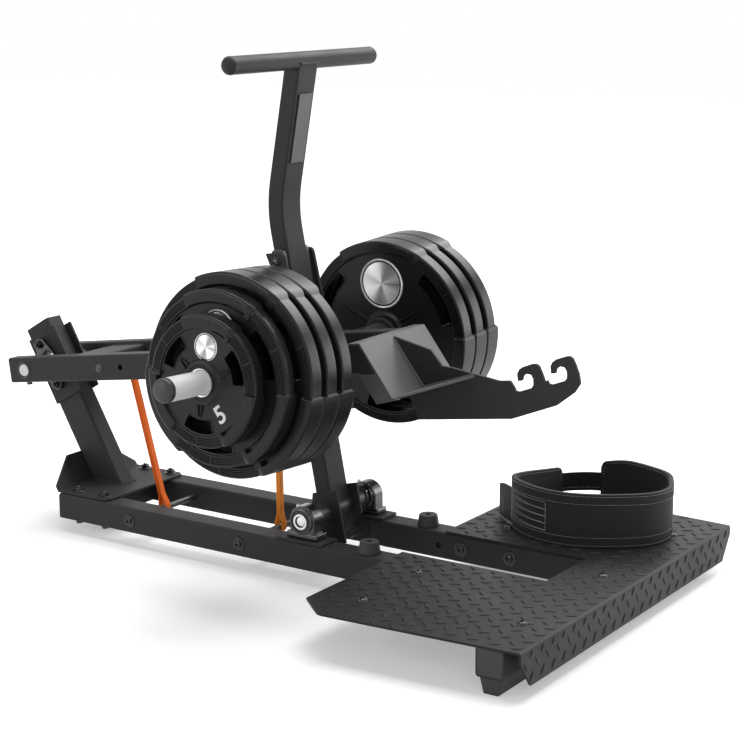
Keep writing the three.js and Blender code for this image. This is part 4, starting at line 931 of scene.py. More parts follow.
def swept_tube(path, ways, half_depth, half_width, corner):
    """A rounded rectangular tube, its section carried square to the path in the xz plane"""
    shape = bmesh.new()
    bmesh.ops.create_grid(shape, x_segments=1, y_segments=1, size=1.0)
    bmesh.ops.scale(shape, vec=(half_depth, half_width, 1), verts=shape.verts)
    bmesh.ops.bevel(shape, geom=shape.verts[:], offset=corner, segments=4, profile=0.5, affect="VERTICES", material=-1)
    section = [v.co.copy() for face in shape.faces for v in face.verts]
    shape.free()
    tube = bmesh.new()
    ring = [tube.verts.new(v) for v in section]
    tube.faces.new(ring)
    edges = tube.edges[:]
    flat_of = dict(zip(ring, section))
    for k, (point, way) in enumerate(zip(path, ways)):
        if k:
            out = bmesh.ops.extrude_edge_only(tube, edges=edges)["geom"]
            new_verts = [g for g in out if isinstance(g, bmesh.types.BMVert)]
            edges = [g for g in out if isinstance(g, bmesh.types.BMEdge)]
            behind = {v: next(e.other_vert(v) for e in v.link_edges if e.other_vert(v) in flat_of) for v in new_verts}
            flat_of = {v: flat_of[old] for v, old in behind.items()}
        place = Matrix.Translation(point) @ Matrix.Rotation(math.atan2(way.x, way.z), 4, "Y")
        for v, flat in flat_of.items():
            v.co = place @ flat
    bmesh.ops.holes_fill(tube, edges=edges, sides=0)
    return tube


ways = [(b - a).normalized() for a, b in zip(centre, centre[2:])]
ways = [lower_way, lower_way, *ways[1:-1], upper_way, upper_way]
handle_x, handle_z, handle_half, handle_radius = 622.9, 1112.3, 262.5, 19.0
handle_seat = moved(rod(handle_radius + 0.3, -40, 40), handle_x, 0, handle_z)
lever = drilled(swept_tube(centre, ways, 20, 35, 5.5), handle_seat)
as_piece(lever, "lever_tube_bent", powder_coat, "release_lever", ["lever_tube"])

handle_coat = finish(
    "handle coat", "handle_finish", (0.015, 0.0152, 0.0157), (0.025, 0.0252, 0.0258),
    1300.0, 0.00022, 0.50, 0.04, specular=0.2,
)
handle = turned(both_ends([
    (19, 250), (18.6, 253.4), (16.5, 257.0), (12, 260.2), (6, 262.0), (0, handle_half),
]))
moved(handle, handle_x, 0, handle_z)
as_piece(handle, "lever_handle_bar", handle_coat, "release_lever", ["lever_handle"])
for side, sign in near_and_far:
    seam = to_side(turned([(19.0, 247.6), (19.35, 248.2), (19.35, 249.4), (19.0, 250.0)]), sign)
    moved(seam, handle_x, 0, handle_z)
    as_piece(seam, f"lever_handle_cap_seam_{side}", plug_plastic, "release_lever")
for end, x in (("front", handle_x + handle_radius), ("rear", handle_x - handle_radius)):
    under = [(x, -33, handle_z - 6), (x, 33, handle_z - 6)]
    weld_bead(under, 2.6, f"lever_handle_weld_{end}", "release_lever", closed=False)

hub_shaft = turned(both_ends([
    (20, 83.2), (23, 84), (23, 90.2), (20, 91), (20, 95.8), (18.6, 97.2), (12.5, 97.2), (12.5, 135.8),
    (10.5, 137.3), (0, 137.3),
]))
moved(hub_shaft, hub_x, 0, hub_z)
as_piece(hub_shaft, "lever_shaft_turned", plug_plastic, "release_lever", ["lever_shaft"])
for side, sign in near_and_far:
    face = to_side(turned([(0, 137.2), (9.2, 137.2), (10.2, 138.2), (9.0, 138.6), (0, 138.6)]), sign)
    as_piece(moved(face, hub_x, 0, hub_z), f"lever_shaft_face_{side}", bright_steel, "release_lever")
    spot = (hub_x + 13.6, sign * 93.4, hub_z + 14.6)
    set_screw = placed(socket_screw(3.6, 2.4, 1.6), aimed(spot, (0.68, 0, 0.73)))
    as_piece(set_screw, f"lever_shaft_set_screw_{side}", bright_steel, "release_lever")
    eased_node(f"lever_cheek_{side}", 1.3, powder_coat, "release_lever", "steel", sharper_than=40.0)
    weld_bead(ring_of(21.5, sign * 42.5, 20, hub_x, hub_z), 2.6, f"lever_hub_weld_{side}", "release_lever")
eased_node("catch_block", 1.5, powder_coat, "release_lever", "steel", sharper_than=30.0)
eased_node("lever_badge", 1.0, pad_plastic, "release_lever", "plate", 3, 40.0)


# Weight plates: iron cores in black rubber, in three sizes. Each has a turned steel bore ring, a
# stepped hub, a sunk web with three grip slots and V-shaped ribs, and a rim of three thick smooth
# blocks between three thinner stretches with rolled ribs. Plain spun steel discs sit in the webs,
# their fans of bright and dark grey painted into their colour as highlights and shade.
plate_rubber = finish(
    "plate rubber", "plate_rubber", (0.006, 0.006, 0.0063), (0.013, 0.013, 0.0133),
    260.0, 0.00018, 0.30, 0.05, specular=0.2,
)
polished_rim = finish(
    "polished emblem rim", "brushed_steel", (0.70, 0.70, 0.70), (0.86, 0.86, 0.86),
    900.0, 0.00002, 0.24, 0.04, metallic=0.35,
)
spun_steel_painted_highlights, spun_tree, spun_shader = new_material("spun emblem steel, painted highlight fans", "brushed_steel", 0.5)
spun_place = add_node(spun_tree, "TexCoord")
spun_centre = add_node(spun_tree, "Mapping", {"Location": (-0.5, -0.5, 0.0)})
painted_fan_angle = add_node(spun_tree, "TexGradient", gradient_type="RADIAL")
# The ramp's fans of bright and dark grey are painted highlights and painted shade in the disc's colour, in place of the
# light that a spun finish reflects
painted_highlight_fans = add_node(spun_tree, "ValToRGB")
painted_highlight_stops = painted_highlight_fans.color_ramp.elements
for position, shade in (
    (0.00, 0.55), (0.05, 0.80), (0.10, 0.42), (0.17, 0.30), (0.21, 0.42), (0.27, 1.00), (0.36, 1.00), (0.43, 0.60),
    (0.50, 0.75), (0.56, 1.00), (0.62, 0.95), (0.68, 0.40), (0.72, 0.28), (0.77, 0.45), (0.82, 1.00), (0.93, 0.95),
):
    painted_highlight_stops.new(position).color = (shade, shade, shade, 1.0)
painted_highlight_stops.remove(painted_highlight_stops[-1])
painted_highlight_stops.new(1.0).color = (0.30, 0.30, 0.30, 1.0)
spun_lines = add_node(
    spun_tree, "TexWave", {"Scale": 46.0, "Distortion": 1.5}, wave_type="RINGS", rings_direction="SPHERICAL",
)
spun_rough = add_node(spun_tree, "MapRange", {"To Min": 0.24, "To Max": 0.36})
wire(
    spun_tree, (spun_place, "UV", spun_centre, "Vector"), (spun_centre, "Vector", painted_fan_angle, "Vector"),
    (painted_fan_angle, "Fac", painted_highlight_fans, "Fac"), (painted_highlight_fans, "Color", spun_shader, "Base Color"),
    (spun_centre, "Vector", spun_lines, "Vector"), (spun_lines, "Fac", spun_rough, "Value"),
    (spun_rough, "Result", spun_shader, "Roughness"),
)

# A rim 28 mm wide, and slots 28 mm high and 42 degrees long that end 4 mm inside it
rim_wide, rim_to_slot, slot_high, slot_half_turn = 28.0, 4.0, 28.0, 21


def polar(radius, degrees, level=0.0):
    """A point of the plate, degrees clockwise from its top as seen on its front"""
    turn = math.radians(degrees)
    return Vector((-radius * math.sin(turn), level, radius * math.cos(turn)))


def turned_by(degrees):
    return Matrix.Rotation(-math.radians(degrees), 4, "Y")


def share_of(value, start, end):
    """How far a value has come from start to end, from 0 to 1"""
    return max(0.0, min((value - start) / (end - start), 1.0))


def smooth(share):
    return share * share * (3 - 2 * share)


def arc_block(inner, outer, start, end, low, high, corner=0.0, steps=14):
    """A block between two arcs of the plate, with its upright edges rounded"""
    shape = bmesh.new()
    turns = [start + (end - start) * i / steps for i in range(steps + 1)]
    points = [polar(outer, turn, low) for turn in turns] + [polar(inner, turn, low) for turn in reversed(turns)]
    face = shape.faces.new([shape.verts.new(p) for p in points])
    pushed = bmesh.ops.extrude_face_region(shape, geom=[face])["geom"]
    bmesh.ops.translate(shape, vec=(0, high - low, 0), verts=[g for g in pushed if isinstance(g, bmesh.types.BMVert)])
    bmesh.ops.recalc_face_normals(shape, faces=shape.faces[:])
    if corner:
        upright = [e for e in edges_along(shape, 1) if e.calc_face_angle(0.0) > math.radians(40)]
        rounded(shape, upright, corner, 4)
    return shape


def thick_block(radius, depth):
    """A smooth rim block, spun from its section: its inner edge draws back towards a lug at its clockwise
    end, where its sides ramp down to the thinner rim"""
    corner = min(5.2, depth * 0.12)
    inner, half, half_turn = radius - rim_wide, depth / 2, 31
    side = [(inner, depth * 0.24), (inner + 0.6, 2.4), (inner + 2.4, 0.5), (inner + 4.6, 0.0)]
    side += [
        (radius - corner * 1.3 * (1 - math.sin(turn)), corner * (1 - math.cos(turn)))
        for turn in map(math.radians, (0, 22, 45, 66, 82))
    ]
    side.append((radius, corner * 1.15))
    loop = side + [(r, depth - y) for r, y in reversed(side)]
    block = bmesh.new()
    ring = [block.verts.new(polar(r, -half_turn, y)) for r, y in loop]
    edges = [block.edges.new(pair) for pair in zip(ring, ring[1:] + ring[:1])]
    bmesh.ops.spin(
        block, geom=ring + edges, cent=(0, 0, 0), axis=(0, 1, 0), angle=math.radians(-2 * half_turn), steps=40,
        use_merge=False, use_duplicate=False,
    )
    bmesh.ops.holes_fill(block, edges=[e for e in block.edges if e.is_boundary], sides=0)
    for v in block.verts:
        reach = math.hypot(v.co.x, v.co.z)
        at = math.degrees(math.atan2(-v.co.x, v.co.z))
        lug = share_of(at, 25.0, 26.5)
        back = radius * 0.045 * smooth(share_of(at, 2.0, 22.0)) * (1 - lug) - 3.0 * lug
        reach += back * min(max(0.0, (radius - 17.0 - reach) / 11.0), 1.0)
        ramp = max(0.0, (at - 27.0) / 4.0, (-at - 29.3) / 1.7)
        outward = share_of(reach, inner, radius - 6.0)
        level = half + (v.co.y - half) * (1 - (0.19 + 0.15 * outward) * ramp)
        reach -= radius * 0.018 * ramp if reach > radius - 12 else 0.0
        v.co = polar(reach, at, level)
    bmesh.ops.recalc_face_normals(block, faces=block.faces[:])
    return block


def spoke(start, tip, degrees, depth, web):
    """Two ridges on each side that meet in a V from the hub towards a slot"""
    ridges = []
    for lean in (-1, 1):
        ridge = slab((-1, web - 1, 0), (1, web + 5.4, 1))
        for v in ridge.verts:
            outward, crest = v.co.z > 0.5, v.co.y > web
            width = (0.4 if crest else 1.8) if outward else (1.0 if crest else 3.4)
            shift = lean * (2.0 if outward else 6.0)
            sunk = 2.6 if outward and crest else 0.0
            v.co = Vector((v.co.x * width + shift, v.co.y - sunk, tip if outward else start))
        ridges.append(placed(eased(ridge, 0.5), turned_by(degrees)))
    pair = combined(*ridges)
    back = pair.copy()
    bmesh.ops.scale(back, vec=(1, -1, 1), verts=back.verts)
    bmesh.ops.translate(back, vec=(0, depth, 0), verts=back.verts)
    bmesh.ops.reverse_faces(back, faces=back.faces[:])
    return combined(pair, back)


def plate_body(radius, depth, hub):
    """The whole rubber body of one plate size, without the doubled faces that the cuts can leave"""
    half, sunk, rim = depth / 2, depth * 0.2, radius * 0.982
    web, band = half - sunk, radius - rim_wide
    slot = band - rim_to_slot
    face = [
        (28.4, half - 0.5), (32.5, half - 0.5), (33.2, half - 1.7), (35.2, half - 1.7), (35.9, half - 0.5),
        (hub - 3.2, half - 0.5), (hub - 0.8, half - 2.2), (hub + 0.6, half - 5.0), (hub + 3.5, web + 0.8),
        (hub + 7, web), (band - 2.6, web), (band - 0.6, web + 0.8), (band + 0.6, half - depth * 0.105),
    ]
    ribs, pitch, groove = 5, 4.1, 4.2
    for k in range(ribs):
        start = band + 2.2 + k * pitch
        level = half - depth * (0.095 + 0.075 * (k / ribs) ** 1.3)
        face += [
            (start, level), (start + pitch * 0.48, level - depth * 0.004),
            (start + pitch * 0.60, level - groove), (start + pitch * 0.88, level - groove),
        ]
    face += [(rim - back, half - depth * down) for back, down in ((4.2, 0.17), (1.9, 0.18), (0.5, 0.205), (0, 0.245))]
    loop = face + [(r, -y) for r, y in reversed(face)] + face[:1]
    disc = turned([(r, y + half) for r, y in loop], steps=108)
    bmesh.ops.recalc_face_normals(disc, faces=disc.faces[:])

    def slot_cutter(at):
        return arc_block(slot - slot_high, slot, at - slot_half_turn, at + slot_half_turn, -20, depth + 20, corner=4.0)

    cutters = []
    for at in (60, 180, 300):
        cutters.append(slot_cutter(at))
        for low, high in ((-10, sunk + 3.2), (depth - sunk - 3.2, depth + 10)):
            cutters.append(arc_block(band - 1.6, radius - 14.0, at - 56, at - 32, low, high, corner=3.0))
    pieces = [drilled(disc, *cutters)]
    for at in (0, 120, 240):
        pieces.append(placed(thick_block(radius, depth), turned_by(at)))
        lug = arc_block(band - 2.0, radius - 17.5, at + 25.4, at + 30.6, 0.4, depth - 0.4, corner=1.6, steps=4)
        pieces.append(eased(lug, 0.8, 2, 40.0))
        over = at + 60
        spoke_tip = hub + (slot - slot_high - hub) * 0.82
        pieces.append(spoke(hub + 2.0, spoke_tip, over, depth, half + web))
        lip = eased(arc_block(
            slot - slot_high - 2.2, slot + 1.8, over - slot_half_turn - 2, over + slot_half_turn + 2,
            sunk - 1.2, depth - sunk + 1.2, corner=6.0,
        ), 0.7, 2, 40.0)
        bmesh.ops.recalc_face_normals(lip, faces=lip.faces[:])
        pieces.append(drilled(lip, slot_cutter(over)))
        mark = slab((-1.5, depth * 0.085, band + 1.5), (1.5, depth * 0.915, radius * 0.965))
        for v in mark.verts:
            if v.co.z > radius * 0.93:
                v.co.y = half + (v.co.y - half) * 0.84
        pieces.append(placed(eased(mark, 0.4), turned_by(over)))
    mesh = as_mesh(combined(*pieces), "plate_body")
    mesh.validate()
    return mesh


def bore_ring(depth):
    inner, middle, outer = 25.8, 27.2, 28.6
    return as_mesh(turned([
        (inner, 0.6), (middle, 0.2), (outer, 0.2), (outer, depth - 0.2), (middle, depth - 0.2), (inner, depth - 0.6),
        (inner, 0.6),
    ], steps=64), "bore_ring")


def spun_disc(reach):
    """A disc with its own UV map, so that the fans of light turn about its centre"""
    disc = bmesh.new()
    bmesh.ops.create_circle(disc, cap_ends=True, cap_tris=True, segments=64, radius=reach)
    layer = disc.loops.layers.uv.new("UVMap")
    for face in disc.faces:
        for corner in face.loops:
            corner[layer].uv = (0.5 + corner.vert.co.x / (2.2 * reach), 0.5 + corner.vert.co.y / (2.2 * reach))
    return laid(disc, "Y")


# Sizes: radius, thickness, hub radius, emblem radius and its distance from the bore, and how far
# the near and the far plates are turned on their sleeves
plate_sizes = {
    "large": (214.0, 51.7, 49.0, 57.0, 116.0, (14, 5)),
    "middle": (183.0, 39.7, 46.0, 42.0, 101.0, (11, 11)),
    "small": (136.5, 39.7, 46.0, 28.6, 72.5, (14, 14)),
}
plate_meshes = {size: (plate_body(*given[:3]), bore_ring(given[1])) for size, given in plate_sizes.items()}
plate_feet = {"large_1": 0, "large_2": 52, "large_3": 104, "middle": 156, "small": 196}
sleeve_start = 82.3


def plate_seat(side, sign, label):
    """A plate's place on its sleeve: on both sides its front is turned towards the near side"""
    _, depth, *_, turns = plate_sizes[label.split("_")[0]]
    turn = math.radians(sign * turns[sign > 0])
    foot = Matrix.Translation((0, sleeve_start + plate_feet[label], 0))
    seat = horn_places[side] @ foot @ Matrix.Rotation(turn, 4, "Y")
    if sign > 0:
        seat = seat @ Matrix.Translation((0, depth, 0)) @ Matrix.Rotation(math.radians(180), 4, "Z")
    return seat


for side, sign in near_and_far:
    for label in plate_feet:
        size = label.split("_")[0]
        _, depth, _, emblem, rise, _ = plate_sizes[size]
        seat = plate_seat(side, sign, label)
        body, node = f"plate_{label}_{side}", f"weight_plate_{label}_{side}"
        rubber, ring = (mesh.copy() for mesh in plate_meshes[size])
        rubber.transform(bench @ seat)
        shown(rubber, f"{node}_rubber", plate_rubber, body, [node], smooth=38.0)
        ring.transform(bench @ seat)
        shown(ring, f"{node}_bore_ring", bright_steel, body)
        if label == "large_2":
            continue
        facing = sign if label == "large_1" else -sign
        spot = seat @ Matrix.Translation((0, depth / 2 + facing * depth * 0.3, rise))
        if facing < 0:
            spot = spot @ Matrix.Rotation(math.radians(180), 4, "Z")
        name = f"plate_emblem_{label}_{side}_{'front' if facing > 0 else 'back'}"
        lip, ledge = emblem * 0.925, emblem * 0.86
        bezel = [(lip, -1.0), (lip, 1.8), ((lip + emblem) / 2, 2.6), (emblem, 1.2), (emblem, -1.0), (lip, -1.0)]
        groove = [(ledge, -1.0), (ledge, 1.0), (lip - 0.1, 1.0), (lip - 0.1, -1.0), (ledge, -1.0)]
        rest = [(0.0, -1.0), (ledge - 0.1, -1.0), (ledge - 0.1, 1.2), (0.0, 1.2)]
        for part, profile, metal in (
            ("bezel", bezel, polished_rim), ("groove", groove, black_oxide), ("blank", rest, polished_rim),
        ):
            as_piece(turned(profile, steps=64), f"{name}_{part}", metal, body, place=spot)
        disc = placed(moved(spun_disc(ledge - 0.2), 0, 1.35, 0), bench @ spot)
        shown(as_mesh(disc, f"{name}_disc"), f"{name}_disc", spun_steel_painted_highlights, body, weighted=False)

# The small plates carry a plain white figure low on their outer webs
figure_paint = finish(
    "white figure paint", "plate_rubber", (0.70, 0.70, 0.70), (0.84, 0.84, 0.84), 300.0, 0.00005, 0.5, 0.05,
)
figure_high, figure_reach, figure_turn = 50.0, 76.0, 137.0
depth = plate_sizes["small"][1]
for side, sign in near_and_far:
    facing = -sign
    letter = bpy.data.curves.new(f"figure_{side}", "FONT")
    letter.body = "5"
    letter.size = figure_high
    letter.align_x = letter.align_y = "CENTER"
    letter.extrude = 0.5
    letter.offset = 0.9
    writing = bpy.data.objects.new(f"figure_{side}", letter)
    studio.collection.objects.link(writing)
    bpy.context.view_layer.update()
    painted = bpy.data.meshes.new_from_object(writing.evaluated_get(bpy.context.evaluated_depsgraph_get()))
    bpy.data.objects.remove(writing)
    bpy.data.curves.remove(letter)
    at = facing * figure_turn
    spot = polar(figure_reach, at, depth / 2 + facing * (depth * 0.3 + 0.4))
    painted.transform(
        bench @ plate_seat(side, sign, "small") @ Matrix.Translation(spot)
        @ Matrix.Rotation(math.radians(180.0 - at), 4, "Y")
        @ Matrix.Rotation(math.radians(180 if facing > 0 else 0), 4, "Z") @ Matrix.Rotation(math.radians(90), 4, "X")
    )
    shown(painted, f"weight_figure_{side}", figure_paint, f"plate_small_{side}", weighted=False)


# Elastic bands: two flat latex loops, each moulded in one piece and stretched round a peg of the base
# and a peg of the arm. The rear one is a heavy red-orange band, the front one a light yellow one.
band_finishes = {
    "rear": finish(
        "orange latex", "band_orange", (0.58, 0.062, 0.004), (0.82, 0.14, 0.010),
        90.0, 0.00006, 0.5, 0.06, specular=0.2,
    ),
    "front": finish(
        "yellow latex", "band_yellow", (0.97, 0.36, 0.025), (1.0, 0.43, 0.045),
        90.0, 0.00006, 0.5, 0.06, specular=0.2,
    ),
}
band_finishes["front"].node_tree.nodes["Principled BSDF"].inputs["Transmission Weight"].default_value = 0.5
band_steps, band_waist, waist_start, waist_end = 32, 6.7, 8.0, 34.0
for end, latex in band_finishes.items():
    name = f"elastic_band_{end}"
    held_low = Vector((base_peg_x[end], 0.0, rail_axis))
    held_high = arm_place @ Vector((arm_peg_u[end], 0.0, 0.0))
    stretch = held_high - held_low
    run = stretch.normalized()
    out = Vector((run.z, 0.0, -run.x))
    band = from_node(name)
    middle = (min(v.co.y for v in band.verts) + max(v.co.y for v in band.verts)) / 2
    bmesh.ops.scale(band, vec=(1, 0.7, 1), space=Matrix.Translation((0, -middle, 0)), verts=band.verts)
    eased(band, 1.3, 3, 40.0)
    for k in range(1, band_steps):
        bmesh.ops.bisect_plane(
            band, geom=band.verts[:] + band.edges[:] + band.faces[:],
            plane_co=held_low + stretch * (k / band_steps), plane_no=run,
        )
    for v in band.verts:
        away = (v.co - held_low).dot(out)
        along = (v.co - held_low).dot(run)
        drawn = smooth(share_of(min(along, stretch.length - along), waist_start, waist_end))
        v.co -= out * math.copysign(band_waist * drawn, away)
    bmesh.ops.recalc_face_normals(band, faces=band.faces[:])
    band_mesh = as_mesh(placed(band, bench), f"{name}_latex")
    band_mesh.materials.append(latex)
    band_mesh.shade_smooth()
    band_mesh.set_sharp_from_angle(angle=math.radians(50))
    stretched = bpy.data.objects.new(f"{name}_latex", band_mesh)
    studio.collection.objects.link(stretched)
    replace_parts(stretched, name)
    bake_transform(stretched)


# Squat belt: a padded waist belt that stands on its edge on the deck. Ribbed webbing is sewn over a
# soft lining, its edges are bound with tape, and a narrow strap closes it at the back. White thread
# runs in rows along the tape and in a zigzag field that anchors the pull tab.
def fabric(name, dark, light, pitch, across_pitch, slant, depth, roughness):
    """Woven cloth: ribs along the UV's first way, crossed by finer threads"""
    cloth = finish(name, "belt_webbing", dark, light, 900.0, 0.00002, roughness, 0.06, specular=0.3)
    weave = cloth.node_tree
    shader = weave.nodes["Principled BSDF"]
    colour = shader.inputs["Base Color"].links[0].from_node
    place = add_node(weave, "TexCoord")
    turn = add_node(weave, "Mapping", {"Rotation": (0.0, 0.0, math.radians(slant))})
    ribs, threads = (
        add_node(
            weave, "TexWave", {"Scale": 0.314 / step, "Distortion": 0.4, "Detail Scale": 2.0},
            wave_type="BANDS", bands_direction=way, wave_profile="SIN",
        ) for way, step in (("X", pitch), ("Y", across_pitch))
    )
    # The colour is scaled with the weave's height, darker in its grooves and lighter on its ribs: painted shade and
    # painted light in the weave
    crossing = add_node(weave, "Math", {1: 0.35}, operation="MULTIPLY_ADD")
    relief = add_node(weave, "Bump", {"Distance": depth, "Strength": 1.0})
    tone = add_node(weave, "MapRange", {"From Max": 1.35, "To Min": 0.55, "To Max": 1.25})
    shade = add_node(weave, "VectorMath", operation="SCALE")
    wire(
        weave, (place, "UV", turn, "Vector"), (turn, "Vector", ribs, "Vector"), (turn, "Vector", threads, "Vector"),
        (threads, "Fac", crossing, 0), (ribs, "Fac", crossing, 2), (crossing, 0, relief, "Height"),
        (relief, "Normal", shader, "Normal"), (crossing, 0, tone, "Value"), (colour, "Colour", shade, 0),
        (tone, "Result", shade, "Scale"), (shade, "Vector", shader, "Base Color"),
    )
    return cloth


webbing = fabric("ribbed belt webbing", (0.0045, 0.0045, 0.005), (0.010, 0.010, 0.0105), 3.2, 0.9, 0.0, 0.0004, 0.66)
binding_tape = fabric("binding tape", (0.008, 0.008, 0.0085), (0.016, 0.016, 0.0165), 1.5, 1.1, 45.0, 0.0002, 0.70)
soft_lining = fabric("belt lining", (0.013, 0.013, 0.0135), (0.024, 0.024, 0.025), 2.2, 1.8, 38.0, 0.0002, 0.82)
white_thread = finish(
    "white sewing thread", "belt_webbing", (0.66, 0.66, 0.66), (0.86, 0.86, 0.85), 1500.0, 0.00002, 0.75, 0.05,
)

belt_foot, belt_high, belt_x, belt_y, belt_long, belt_wide = 98.6, 118, 1024, 136, 350, 326
belt_corners = [
    Vector((belt_x + u * belt_long, belt_y + v * belt_wide, 0)) for u, v in (
        (0.02, 0.22), (0.14, 0.09), (0.31, 0.01), (0.50, 0.00), (0.69, 0.08), (0.87, 0.23), (0.95, 0.37), (0.955, 0.53),
        (0.89, 0.70), (0.80, 0.85), (0.65, 0.94), (0.44, 1.00), (0.27, 0.98), (0.15, 0.91), (0.065, 0.81),
        (0.02, 0.63), (0.00, 0.42),
    )
]


def belt_way(first, last):
    """Points about 2 mm apart along the belt's middle line, between two of its corners"""
    count, way = len(belt_corners), []
    for i in range(first, last):
        before, here, ahead, beyond = (belt_corners[(i + k) % count] for k in (-1, 0, 1, 2))
        steps = max(4, round((ahead - here).length / 2))
        handles = (here, here + (ahead - before) / 6, ahead - (beyond - here) / 6, ahead)
        way += list(mathutils.geometry.interpolate_bezier(*handles, steps + 1))[:-1]
    way.append(belt_corners[last % count].copy())
    return way


def marks_along(points):
    """The distance of each point along its line"""
    marks = [0.0]
    for a, b in zip(points, points[1:]):
        marks.append(marks[-1] + (b - a).length)
    return marks


def stretch_at(marks, distance):
    """The number of the stretch that a distance falls in, and how much of it lies before"""
    i = min(bisect.bisect_right(marks, distance), len(marks) - 1)
    return i, (distance - marks[i - 1]) / max(1e-6, marks[i] - marks[i - 1])


class Route:
    """A line along the belt, with the distance of each of its points"""

    def __init__(self, points):
        self.points = points
        self.marks = marks_along(points)
        self.length = self.marks[-1]

    def at(self, distance):
        """The point there, and the way out of the belt"""
        i, share = stretch_at(self.marks, max(0.0, min(distance, self.length)))
        way = (self.points[min(len(self.points) - 1, i + 3)] - self.points[max(0, i - 4)]).normalized()
        return self.points[i - 1].lerp(self.points[i], share), Vector((way.y, -way.x, 0))

    def beside(self, distance, depth, level):
        """A point that lies out from the line by depth, at its level above the floor"""
        point, side = self.at(distance)
        return Vector((point.x + side.x * depth, point.y + side.y * depth, level))


main_route = Route(belt_way(-3, 12))
gap_route = Route(belt_way(12, 14))


def top_of(distance):
    """The belt's top edge, which comes down round its far side and less so towards the front"""
    point = main_route.at(distance)[0]
    far = smooth(share_of(point.y, belt_y, belt_y + belt_wide))
    front = smooth(share_of(point.x, belt_x, belt_x + belt_long / 2))
    return belt_foot + belt_high - 32 * (1 - 0.8 * front) * far


def above_foot(height):
    return lambda distance: belt_foot + height


def below_top(height):
    return lambda distance: top_of(distance) - height


def belt_strip(route, start, end, floor, ceiling, inner, outer, corner=0.0, edge=1.2, rows=8, puff=0.0):
    """A strip of cloth along the route: floor and ceiling give its height at a distance"""
    strip = bmesh.new()
    bmesh.ops.create_grid(strip, x_segments=max(6, int((end - start) / 4)), y_segments=rows, size=0.5)
    map_layer = strip.loops.layers.uv.new("UVMap")
    bmesh.ops.solidify(strip, geom=strip.faces[:], thickness=0.05)
    levels = [v.co.z for v in strip.verts]
    middle = (min(levels) + max(levels)) / 2
    for face in strip.faces:
        for loop in face.loops:
            co = loop.vert.co
            loop[map_layer].uv = (start + (co.x + 0.5) * (end - start), (co.y + 0.5) * belt_high)
    for v in strip.verts:
        distance, share = start + (v.co.x + 0.5) * (end - start), v.co.y + 0.5
        low, high = floor(distance), ceiling(distance)
        from_end = min(distance - start, end - distance)
        if from_end < corner:
            cut = corner - math.sqrt(max(0.0, corner * corner - (corner - from_end) ** 2))
            low, high = low + cut, high - cut
        depth = outer if v.co.z > middle else inner - puff * math.sin(math.pi * share) ** 0.6
        v.co = route.beside(distance, depth, low + (high - low) * share)
    bmesh.ops.recalc_face_normals(strip, faces=strip.faces[:])
    return eased(strip, edge, 3, 62.0)


def sewn(name, strip, material):
    piece = shown(as_mesh(placed(strip, bench), name), name, material, "belt", smooth=55.0)
    return piece


def stitches(points, outwards, stitch=4.0, gap=2.8):
    """A row of thread loops: small ellipsoids end to end along a line of points"""
    row = bmesh.new()
    marks = marks_along(points)
    lift, thread_half = 0.25, (0.33, 0.34)
    distance = 1.0
    while distance + stitch < marks[-1]:
        i, share = stretch_at(marks, distance + stitch / 2)
        out = outwards[i - 1].lerp(outwards[i], share).normalized()
        way = (points[i] - points[i - 1]).normalized()
        loop_place = Matrix((way, out.cross(way), out)).transposed().to_4x4()
        loop_place.translation = points[i - 1].lerp(points[i], share) + out * lift
        bmesh.ops.create_icosphere(
            row, subdivisions=1, radius=1.0, matrix=loop_place @ Matrix.Diagonal((stitch / 2, *thread_half, 1.0)),
        )
        distance += stitch + gap
    return row


def seam(route, start, end, level, depth, facing=1, count=None, **spacing):
    """A row of stitches along the route: level gives its height at a distance"""
    count = count or max(2, int((end - start) / 3))
    marks = [start + (end - start) * k / count for k in range(count + 1)]
    points = [route.beside(mark, depth, level(mark)) for mark in marks]
    return stitches(points, [route.at(mark)[1] * facing for mark in marks], **spacing)


def column(distance, margin, depth, facing=1, **spacing):
    """A row of stitches up the belt, from a margin above its foot to the same below its top"""
    ends = [main_route.beside(distance, depth, z) for z in (belt_foot + margin, top_of(distance) - margin)]
    return stitches(ends, [main_route.at(distance)[1] * facing] * 2, **spacing)


full = main_route.length
lining = belt_strip(
    main_route, 0, full, above_foot(0.6), below_top(0.6), -4.2, 0.2, corner=11.0, edge=1.4, rows=10, puff=1.4,
)
sewn("squat_belt_lining", lining, soft_lining)
outer_web = belt_strip(main_route, 0, full, above_foot(0.4), below_top(0.4), 0.1, 4.1, corner=11.0, rows=10)
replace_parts(sewn("squat_belt_webbing", outer_web, webbing), "squat_belt")
for edge_name, floor_of, ceiling_of in (
    ("low", above_foot(0), above_foot(25)), ("high", below_top(25), below_top(0)),
):
    binding = belt_strip(main_route, 3, full - 3, floor_of, ceiling_of, -4.9, 4.9, corner=7.0, edge=1.5, rows=3)
    sewn(f"squat_belt_binding_{edge_name}", binding, binding_tape)
strap = belt_strip(gap_route, 0, gap_route.length, above_foot(32), above_foot(75), -2.0, 2.4, edge=0.9, rows=3)
sewn("squat_belt_closing_strap", strap, webbing)

tape_face = 5.0
both_faces = ((tape_face, 1), (-tape_face, -1))
thread = [
    seam(main_route, 8, full - 8, level, depth, facing)
    for depth, facing in both_faces for level in (above_foot(5), below_top(5))
]
thread += [seam(main_route, 8, full - 8, level, tape_face) for level in (above_foot(22.5), below_top(22.5))]
thread += [
    seam(gap_route, 2, gap_route.length - 2, above_foot(40), depth, facing) for depth, facing in ((2.4, 1), (-2.0, -1))
]
thread += [column(distance, 10, depth, facing) for distance in (6.5, full - 6.5) for depth, facing in both_faces]

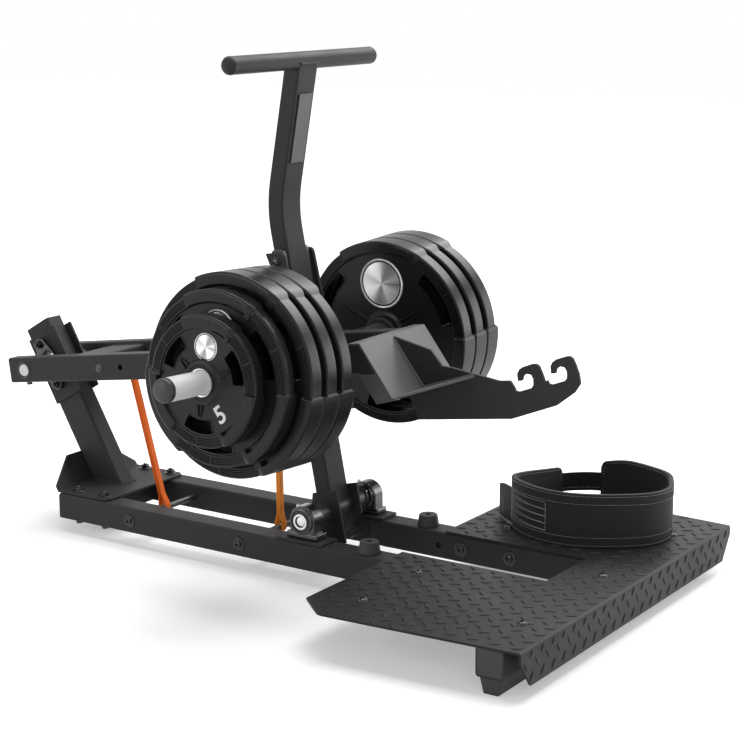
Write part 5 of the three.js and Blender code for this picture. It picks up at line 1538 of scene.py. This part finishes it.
# Zigzag field where the pull tab is anchored, at the belt's corner nearest the lever
field_rows, field_margin, web_face = 5, 28, 4.3
close_set = {"stitch": 5.0, "gap": 0.6}
marked = list(zip(main_route.marks, main_route.points))
field_start = next(mark for mark, point in marked if point.y < 236 and point.x < 1040)
field_end = next(mark for mark, point in marked if point.x > 1152 and point.y < 160)
thread += [column(distance, field_margin - 2, web_face, **close_set) for distance in (field_start, field_end)]


def row_level(row, slanting):
    """The height of a straight row of the field, or of the slanting one that joins it to the next"""
    def level(distance):
        rise = (top_of(distance) - belt_foot - 2 * field_margin) / (field_rows - 1)
        share = (distance - field_start) / (field_end - field_start)
        climb = rise * (1 - share) * 0.9 - 2.0 * (1 - (2 * share - 1) ** 2)
        return belt_foot + field_margin + rise * row + (climb if slanting else 0.0)
    return level


for row in range(field_rows):
    for slanting in (False, True) if row < field_rows - 1 else (False,):
        level = row_level(row, slanting)
        thread.append(seam(main_route, field_start, field_end, level, web_face, count=30, **close_set))

# Pull tab: webbing sewn in at that corner, folded back on itself at its free end
tab_root = Vector((1038, 201.2, 0))
tab_way = (Vector((964.5, 258.3, 0)) - tab_root).normalized()
tab_side = Vector((-tab_way.y, tab_way.x, 0))


def on_tab(along, away, level):
    return tab_root + tab_way * along + tab_side * away + Vector((0, 0, belt_foot + level))


tab = bmesh.new()
bmesh.ops.create_grid(tab, x_segments=26, y_segments=4, size=0.5)
tab_map = tab.loops.layers.uv.new("UVMap")
bmesh.ops.solidify(tab, geom=tab.faces[:], thickness=0.05)
levels = [v.co.z for v in tab.verts]
tab_middle = (min(levels) + max(levels)) / 2
for face in tab.faces:
    for loop in face.loops:
        loop[tab_map].uv = (loop.vert.co.x * 82, loop.vert.co.y * 58)
for v in tab.verts:
    share = v.co.x + 0.5
    level = 3.2 + (v.co.y + 0.5) * 80 - (9.0 * share ** 4 if v.co.y > 0.4 else 0.0)
    bow = 1.6 * math.sin(share * math.pi) - 1.5
    v.co = on_tab(2 + share * 88, bow + (2.0 if v.co.z > tab_middle else -2.0), level)
bmesh.ops.recalc_face_normals(tab, faces=tab.faces[:])
sewn("squat_belt_pull_tab", eased(tab, 1.0, 3, 60.0), webbing)
thread += [stitches([on_tab(along, 2.3, 10), on_tab(along, 2.3, 50)], [tab_side] * 2) for along in (64, 76)]
sewn("squat_belt_stitching", combined(*thread), white_thread)
